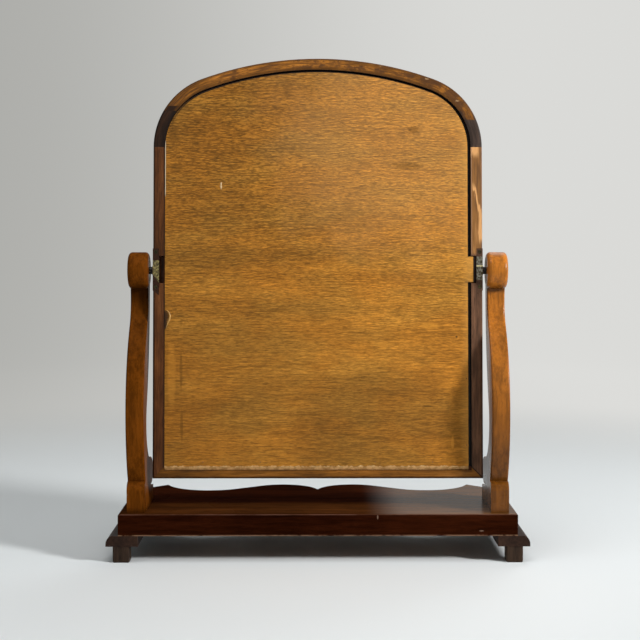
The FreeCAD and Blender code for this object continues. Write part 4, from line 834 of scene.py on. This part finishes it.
class MIRROR_OT_backboard(bpy.types.Operator):
    """Dry board with wavy grain, stains, a run of glue and a drip; its brads"""

    bl_idname = "dressing_mirror.backboard"
    bl_label = "Backboard"

    def execute(self, context):
        settings = context.scene.dressing_mirror
        put(self.board(settings), "backboard")
        rust = settings.metals.rust
        heads = Finish("brad_iron", leaning=True)
        heads.speckle(900.0, 0.6, (tint(rust, 0.6), tint(rust, 1.4)), 0.0001)
        put(heads.surface(Metallic=0.3, Roughness=0.6), "backboard_brads")
        self.runs(settings)
        return {"FINISHED"}

    def board(self, settings):
        """Wavy grain along X with broad bands, painted lighter towards -X as lit; stains, smudges, a raw
        bevel below, painted light and shadow.
        """
        base = settings.woods.board
        finish = Finish("board_wood", leaning=True)
        grain = Grain(finish, "x", 0.4, wander=0.005, band=0.024, ripple=0.0023, fibre=0.0010)
        paint = grain.tones(base, 0.52, (0.18, 0.48, 0.34))
        ticks = finish.streaks("x", 7.0, 1000.0, 2.0, 0.6, vector=finish.wavy(24.0, 0.004))
        high_up = finish.fade(finish.z, BOARD_LOW.z + 0.10, BOARD_HIGH.z - 0.10, 0.42, 1.0)
        paint = finish.shade(paint, finish.choose(high_up, 1.0, finish.fade(ticks, 0.36, 0.64, 0.54, 1.52)))
        drift = finish.times(finish.streaks("x", 4.0, 22.0), 0.034)
        wave = finish.number("SINE", finish.times(finish.sum(finish.z, drift), 2 * math.pi / 0.0041))
        comes = finish.fade(finish.streaks("x", 8.0, 70.0, 3.0), 0.36, 0.60)
        line = finish.both(finish.fade(wave, 0.0, 0.95), finish.both(comes, high_up))
        paint = finish.blend(finish.both(line, 0.60), paint, tint(base, 0.42))
        broad = finish.streaks("x", 14.0, 34.0)
        paint = finish.shade(paint, finish.fade(broad, 0.36, 0.64, 0.93, 1.07))
        hue = finish.fade(finish.streaks("x", 2.0, 16.0, 4.0, 0.6), 0.36, 0.64)
        warm = finish.vector("MULTIPLY", paint, (1.03, 0.965, 0.90))[0]
        sallow = finish.vector("MULTIPLY", paint, (0.97, 1.02, 1.18))[0]
        paint = finish.blend(hue, warm, sallow)
        short = finish.streaks("x", 4.5, 640.0, 2.0, 0.6, vector=finish.wavy(40.0, 0.003))
        dash = finish.fade(short, 0.60, 0.70, 0.0, 0.45)
        paint = finish.blend(dash, paint, tint(base, 0.45))
        # Painted light: the board is painted lighter towards -X, the side the light comes from.
        across = finish.sum(finish.x, finish.times(grain.cloud, 0.12))
        paint = finish.shade(paint, finish.fade(across, BOARD_HIGH.x + 0.06, BOARD_LOW.x + 0.06, 0.85, 1.22))
        for centre, size, deep in (
            ((0.13, 0.655), (0.22, 0.14), 0.42),
            ((-0.09, 0.165), (0.16, 0.12), 0.60),
            ((0.10, 0.425), (0.17, 0.020), 0.30),
            ((-0.02, 0.240), (0.19, 0.022), 0.34),
            ((-0.19, 0.315), (0.07, 0.055), 0.36),
        ):
            grey = finish.spot(centre, size, 0.5, 14.0)
            paint = finish.blend(finish.both(grey, deep), paint, finish.shade(paint, 0.5))
        pale = finish.spot((0.14, 0.382), (0.16, 0.022), 0.5, 14.0)
        paint = finish.blend(finish.both(pale, 0.5), paint, finish.shade(paint, 1.5))
        # Painted light over the upper -X part of the board.
        painted_upper_light = finish.spot((-0.12, 0.60), (0.24, 0.22), 0.5, 14.0)
        paint = finish.blend(finish.both(painted_upper_light, 0.25), paint, (0.52, 0.28, 0.11))
        paint = self.marks(finish, paint, base)
        # Painted light along the board's -X edge.
        edge_band = finish.sum(finish.x, finish.times(grain.cloud, 0.03))
        painted_edge_light = finish.fade(edge_band, BOARD_LOW.x + 0.040, BOARD_LOW.x + 0.020, 0.0, 0.5)
        paint = finish.blend(painted_edge_light, paint, (0.66, 0.32, 0.065))
        # A pale line along the +X arris between two heights: bare edge, brightened as a painted highlight.
        lit_low, lit_high = 0.515, 0.594
        rim = finish.fade(finish.x, BOARD_HIGH.x - 0.0011, BOARD_HIGH.x - 0.0005)
        lit = finish.both(rim, finish.between(finish.z, lit_low, lit_high, 0.004))
        paint = finish.blend(lit, paint, (0.70, 0.58, 0.40))
        # Painted shadow: a near-black band below the arch and along the -X tongue, where the gap to the
        # frame lies in shade.
        below_arch = finish.fade(course(finish, "arch")[1], 0.0208, 0.0198)
        painted_arch_shadow = finish.both(below_arch, finish.fade(finish.z, SPRING + 0.016, SPRING + 0.076))
        painted_tongue_shadow = finish.fade(finish.x, BOARD_LOW.x + 0.0040, BOARD_LOW.x + 0.0025)
        paint = finish.blend(finish.either(painted_arch_shadow, painted_tongue_shadow), paint, (0.010, 0.005, 0.003))
        ragged = finish.noise(130.0, 4.0, 0.65)
        height = finish.less(finish.z, finish.times(ragged, 0.006))
        bevel = finish.fade(height, BOARD_LOW.z + 0.0030, BOARD_LOW.z + 0.0018)
        bare = finish.blend(finish.fade(ragged, 0.40, 0.62), (0.46, 0.24, 0.080), (0.70, 0.40, 0.16))
        paint = finish.blend(bevel, paint, bare)
        crest = finish.between(height, BOARD_LOW.z + 0.0018, BOARD_LOW.z + 0.0026, 0.0006)
        fleck = finish.both(crest, finish.fade(finish.noise(110.0, 3.0), 0.48, 0.58))
        paint = finish.blend(finish.both(fleck, 0.9), paint, (0.88, 0.66, 0.33))
        worked = finish.less(grain.relief(), dash)
        return finish.surface(
            Base_Color=paint,
            Roughness=finish.fade(grain.cloud, 0.3, 0.7, 0.58, 0.72),
            Specular_IOR_Level=0.15,
            Normal=finish.bump(worked, settings.relief.grain_depth, 0.7),
        )

    def marks(self, finish, paint, base):
        """Knots, dark smudges, black holes, a ring and pale patches."""
        knots = (((-0.137, 0.609), (0.011, 0.007), 0.50), ((-0.129, 0.557), (0.028, 0.007), 0.42))
        smudges = (
            ((0.203, 0.554), (0.012, 0.010), 0.50),
            ((0.206, 0.604), (0.010, 0.014), 0.40),
            ((0.195, 0.265), (0.0028, 0.036), 0.50),
            ((0.194, 0.185), (0.0028, 0.030), 0.50),
            ((0.195, 0.333), (0.0028, 0.007), 0.35),
            ((-0.157, 0.213), (0.009, 0.0022), 0.75),
        )
        holes = (
            ((0.2178, 0.3420), (0.0062, 0.0105), 0.9),
            ((0.2186, 0.3300), (0.0050, 0.0100), 0.9),
            ((-0.214, 0.3905), (0.006, 0.0025), 0.9),
            ((-0.198, 0.312), (0.0022, 0.0018), 0.9),
        )
        pale = (
            ((-0.159, 0.3275), (0.017, 0.0055), 0.60),
            ((-0.093, 0.300), (0.009, 0.008), 0.45),
            ((-0.192, 0.162), (0.0030, 0.012), 0.60),
            ((0.209, 0.260), (0.008, 0.060), 0.28),
        )
        paint = finish.dabs(paint, tint(base, 0.28), knots, 1.3, 260.0)
        paint = finish.dabs(paint, tint(base, 0.28), smudges)
        paint = finish.dabs(paint, (0.020, 0.010, 0.006), holes)
        outer = finish.spot((-0.142, 0.514), (0.010, 0.008), 0.3)
        inner = finish.spot((-0.142, 0.514), (0.007, 0.0055), 0.3)
        paint = finish.blend(finish.both(finish.less(outer, inner), 0.5), paint, tint(base, 0.35))
        return finish.dabs(paint, tint(base, 1.75), pale)

    def runs(self, settings):
        """A curled run of glue on the board's edge at +X and a small pale drip."""
        relief, metals = settings.relief, settings.metals
        glue = Finish("glue_finish", leaning=True)
        tones = (tint(metals.glue, 0.75), tint(metals.glue, 1.2))
        mottled = glue.speckle(240.0, 0.5, tones, 0.0003, reach=(0.3, 0.7))
        glue.surface(Roughness=glue.fade(mottled, 0.3, 0.7, 0.3, 0.45))
        path = (
            (0.2165, 0.3510), (0.2128, 0.3475), (0.2108, 0.3415),
            (0.2122, 0.3365), (0.2145, 0.3310), (0.2172, 0.3225),
        )
        points = drop_points(path, 0.0014, relief.glue_thick)
        grid_mesh("glue_run", points, "mirror", glue.material)
        drip = Finish("drip_finish", leaning=True)
        tones = ((0.52, 0.32, 0.13), (0.64, 0.45, 0.23))
        drip.speckle(400.0, 0.5, tones, 0.0002, reach=(0.3, 0.7))
        drip.surface(Roughness=0.5)
        path = ((0.1383, 0.5335), (0.1387, 0.5290), (0.1383, 0.5225))
        points = drop_points(path, 0.0014, relief.drip_thick, 32, 13)
        grid_mesh("pale_drip", points, "mirror", drip.material)


class MIRROR_OT_glass(bpy.types.Operator):
    """Old mirror plate with spots in the silvering near its edges"""

    bl_idname = "dressing_mirror.glass"
    bl_label = "Mirror plate"

    def execute(self, context):
        metals = context.scene.dressing_mirror.metals
        finish = Finish("silvered_glass", leaning=True)
        middle = (GLASS_LOW.z + GLASS_HIGH.z) / 2
        tall = GLASS_HIGH.z - middle
        far_x = finish.number("ABSOLUTE", finish.x)
        level = finish.less(finish.z, middle)
        far_z = finish.number("ABSOLUTE", level)
        rim = finish.either(
            finish.fade(far_x, GLASS_HIGH.x - 0.030, GLASS_HIGH.x), finish.fade(far_z, tall - 0.030, tall)
        )
        freckle = finish.noise(260.0, 4.0, 0.7)
        spots = finish.fade(finish.sum(freckle, finish.times(rim, 0.16)), 0.68, 0.78, 0.0, 0.6)
        plate = finish.surface(
            Base_Color=finish.blend(spots, metals.silver, (0.16, 0.13, 0.10)),
            Metallic=1.0,
            Roughness=finish.fade(spots, 0.0, 0.7, 0.015, 0.35),
        )
        put(plate, "mirror_glass")
        return {"FINISHED"}


def metal(name, bright, dull, patch, clean=None, slope=0.0, band=None, ends=None):
    """Metal with dull patches; patch is the share of it that is dull.

    Outside clean, a range of upright heights whose lower bound slopes across the plate, it is stained with
    the colour of its ends. A bright line crosses it at band.
    """
    finish = Finish(name, leaning=clean is not None)
    cloud = finish.noise(330.0, 4.0, 0.7)
    fine = finish.noise(1500.0, 3.0, 0.6)
    mask = finish.fade(cloud, 0.75 - 0.6 * patch, 0.95 - 0.6 * patch)
    paint = finish.blend(mask, bright, dull)
    shine = finish.fade(mask, 0.0, 1.0, 1.0, 0.7)
    if clean:
        side = finish.number("ABSOLUTE", finish.x)
        lift = finish.times(finish.less(side, HALF - 0.0085), slope)
        wobble = finish.sum(finish.z, finish.times(finish.less(cloud, 0.5), 0.004))
        above = finish.fade(finish.less(wobble, lift), clean[0] - 0.0008, clean[0] + 0.0008)
        bare = finish.both(above, finish.fade(wobble, clean[1] + 0.0008, clean[1] - 0.0008))
        paint = finish.blend(bare, ends, paint)
        shine = finish.both(bare, shine)
    if band:
        line = finish.between(finish.z, band - 0.0010, band + 0.0010, 0.0004)
        paint = finish.blend(line, paint, (0.86, 0.76, 0.42))
    return finish.surface(
        Base_Color=paint,
        Metallic=shine,
        Roughness=finish.fade(finish.sum(mask, fine), 0.4, 1.5, 0.22, 0.55),
        Specular_IOR_Level=0.2,
        Normal=finish.bump(finish.sum(cloud, finish.times(fine, 0.4)), 0.0003, 0.5, 0.0003),
    )


class MIRROR_OT_fittings(bpy.types.Operator):
    """Brass plates and sockets, iron studs, screws and leather washers"""

    bl_idname = "dressing_mirror.fittings"
    bl_label = "Pivot fittings"

    def execute(self, context):
        metals = context.scene.dressing_mirror.metals
        woods = context.scene.dressing_mirror.woods
        right = metal(
            "socket_brass_right", metals.brass, metals.tarnish, 0.62,
            clean=(PIVOT.z - 0.018, PIVOT.z + 0.0135), slope=1.4, ends=tint(woods.stile_right, 0.3),
        )
        left = metal(
            "socket_brass_left", metals.nickel, metals.tarnish, 0.60,
            clean=(PIVOT.z - 0.014, PIVOT.z + 0.019), band=PIVOT.z + 0.006,
            ends=tint(woods.stile_left, 0.6),
        )
        put(right, "socket_plate_right")
        put(left, "socket_plate_left")
        plates = metal("plate_brass", tint(metals.brass, 0.25), tint(metals.tarnish, 0.5), 0.7)
        put(plates, "pivot_plate_left", "pivot_plate_right")
        screws = metal("screw_brass", tint(metals.brass, 0.25), tint(metals.tarnish, 0.4), 0.7)
        put(screws, "socket_plate_screws", "pivot_plate_screws")
        iron = metal("stud_iron", metals.iron, tint(metals.iron, 0.5), 0.6)
        put(iron, "pivot_stud_left", "pivot_stud_right", "rail_screws", "support_screws")
        leather = Finish("washer_leather")
        leather.speckle(1800.0, 0.6, (tint(metals.leather, 0.6), tint(metals.leather, 1.5)), 0.0002, 0.6)
        put(leather.surface(Roughness=0.7), "friction_washer_left", "friction_washer_right")
        return {"FINISHED"}


class MIRROR_OT_inside(bpy.types.Operator):
    """Unfinished wedges and dowels inside the frame"""

    bl_idname = "dressing_mirror.inside"
    bl_label = "Wedges and dowels"

    def execute(self, context):
        base = context.scene.dressing_mirror.woods.inner
        finish = Finish("inner_wood", leaning=True)
        grain = Grain(finish, "z", 9.1)
        pale = finish.surface(
            Base_Color=grain.tones(base, 0.6),
            Roughness=0.7,
            Normal=finish.bump(grain.relief(), 0.0002, 0.4),
        )
        put(pale, "glass_wedges", "frame_dowels")
        return {"FINISHED"}


class MIRROR_PT_sidebar(bpy.types.Panel):
    """Lists the steps and the settings"""

    bl_label = "Dressing table mirror"
    bl_idname = "MIRROR_PT_sidebar"
    bl_space_type = "VIEW_3D"
    bl_region_type = "UI"
    bl_category = "Mirror"

    def draw(self, context):
        settings = context.scene.dressing_mirror
        for step in OPERATORS:
            self.layout.operator(step.bl_idname)
        for group in (settings.woods, settings.metals, settings.relief, settings.stage):
            box = self.layout.box()
            for name in group.__annotations__:
                box.prop(group, name)


OPERATORS = (
    MIRROR_OT_stage,
    MIRROR_OT_platform,
    MIRROR_OT_supports,
    MIRROR_OT_frame,
    MIRROR_OT_backboard,
    MIRROR_OT_glass,
    MIRROR_OT_fittings,
    MIRROR_OT_inside,
)
GROUPS = (MirrorWoods, MirrorMetals, MirrorRelief, MirrorStage, MirrorSettings)
CLASSES = GROUPS + OPERATORS + (MIRROR_PT_sidebar,)


def register():
    """Make the settings, the steps and the panel known to Blender."""
    for made in CLASSES:
        bpy.utils.register_class(made)
    bpy.types.Scene.dressing_mirror = PointerProperty(type=MirrorSettings)


def unregister():
    """Take them out again."""
    del bpy.types.Scene.dressing_mirror
    for made in reversed(CLASSES):
        bpy.utils.unregister_class(made)


def main():
    """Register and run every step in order."""
    register()
    bpy.ops.dressing_mirror.stage()
    bpy.ops.dressing_mirror.platform()
    bpy.ops.dressing_mirror.supports()
    bpy.ops.dressing_mirror.frame()
    bpy.ops.dressing_mirror.backboard()
    bpy.ops.dressing_mirror.glass()
    bpy.ops.dressing_mirror.fittings()
    bpy.ops.dressing_mirror.inside()


if __name__ == "__main__":
    main()
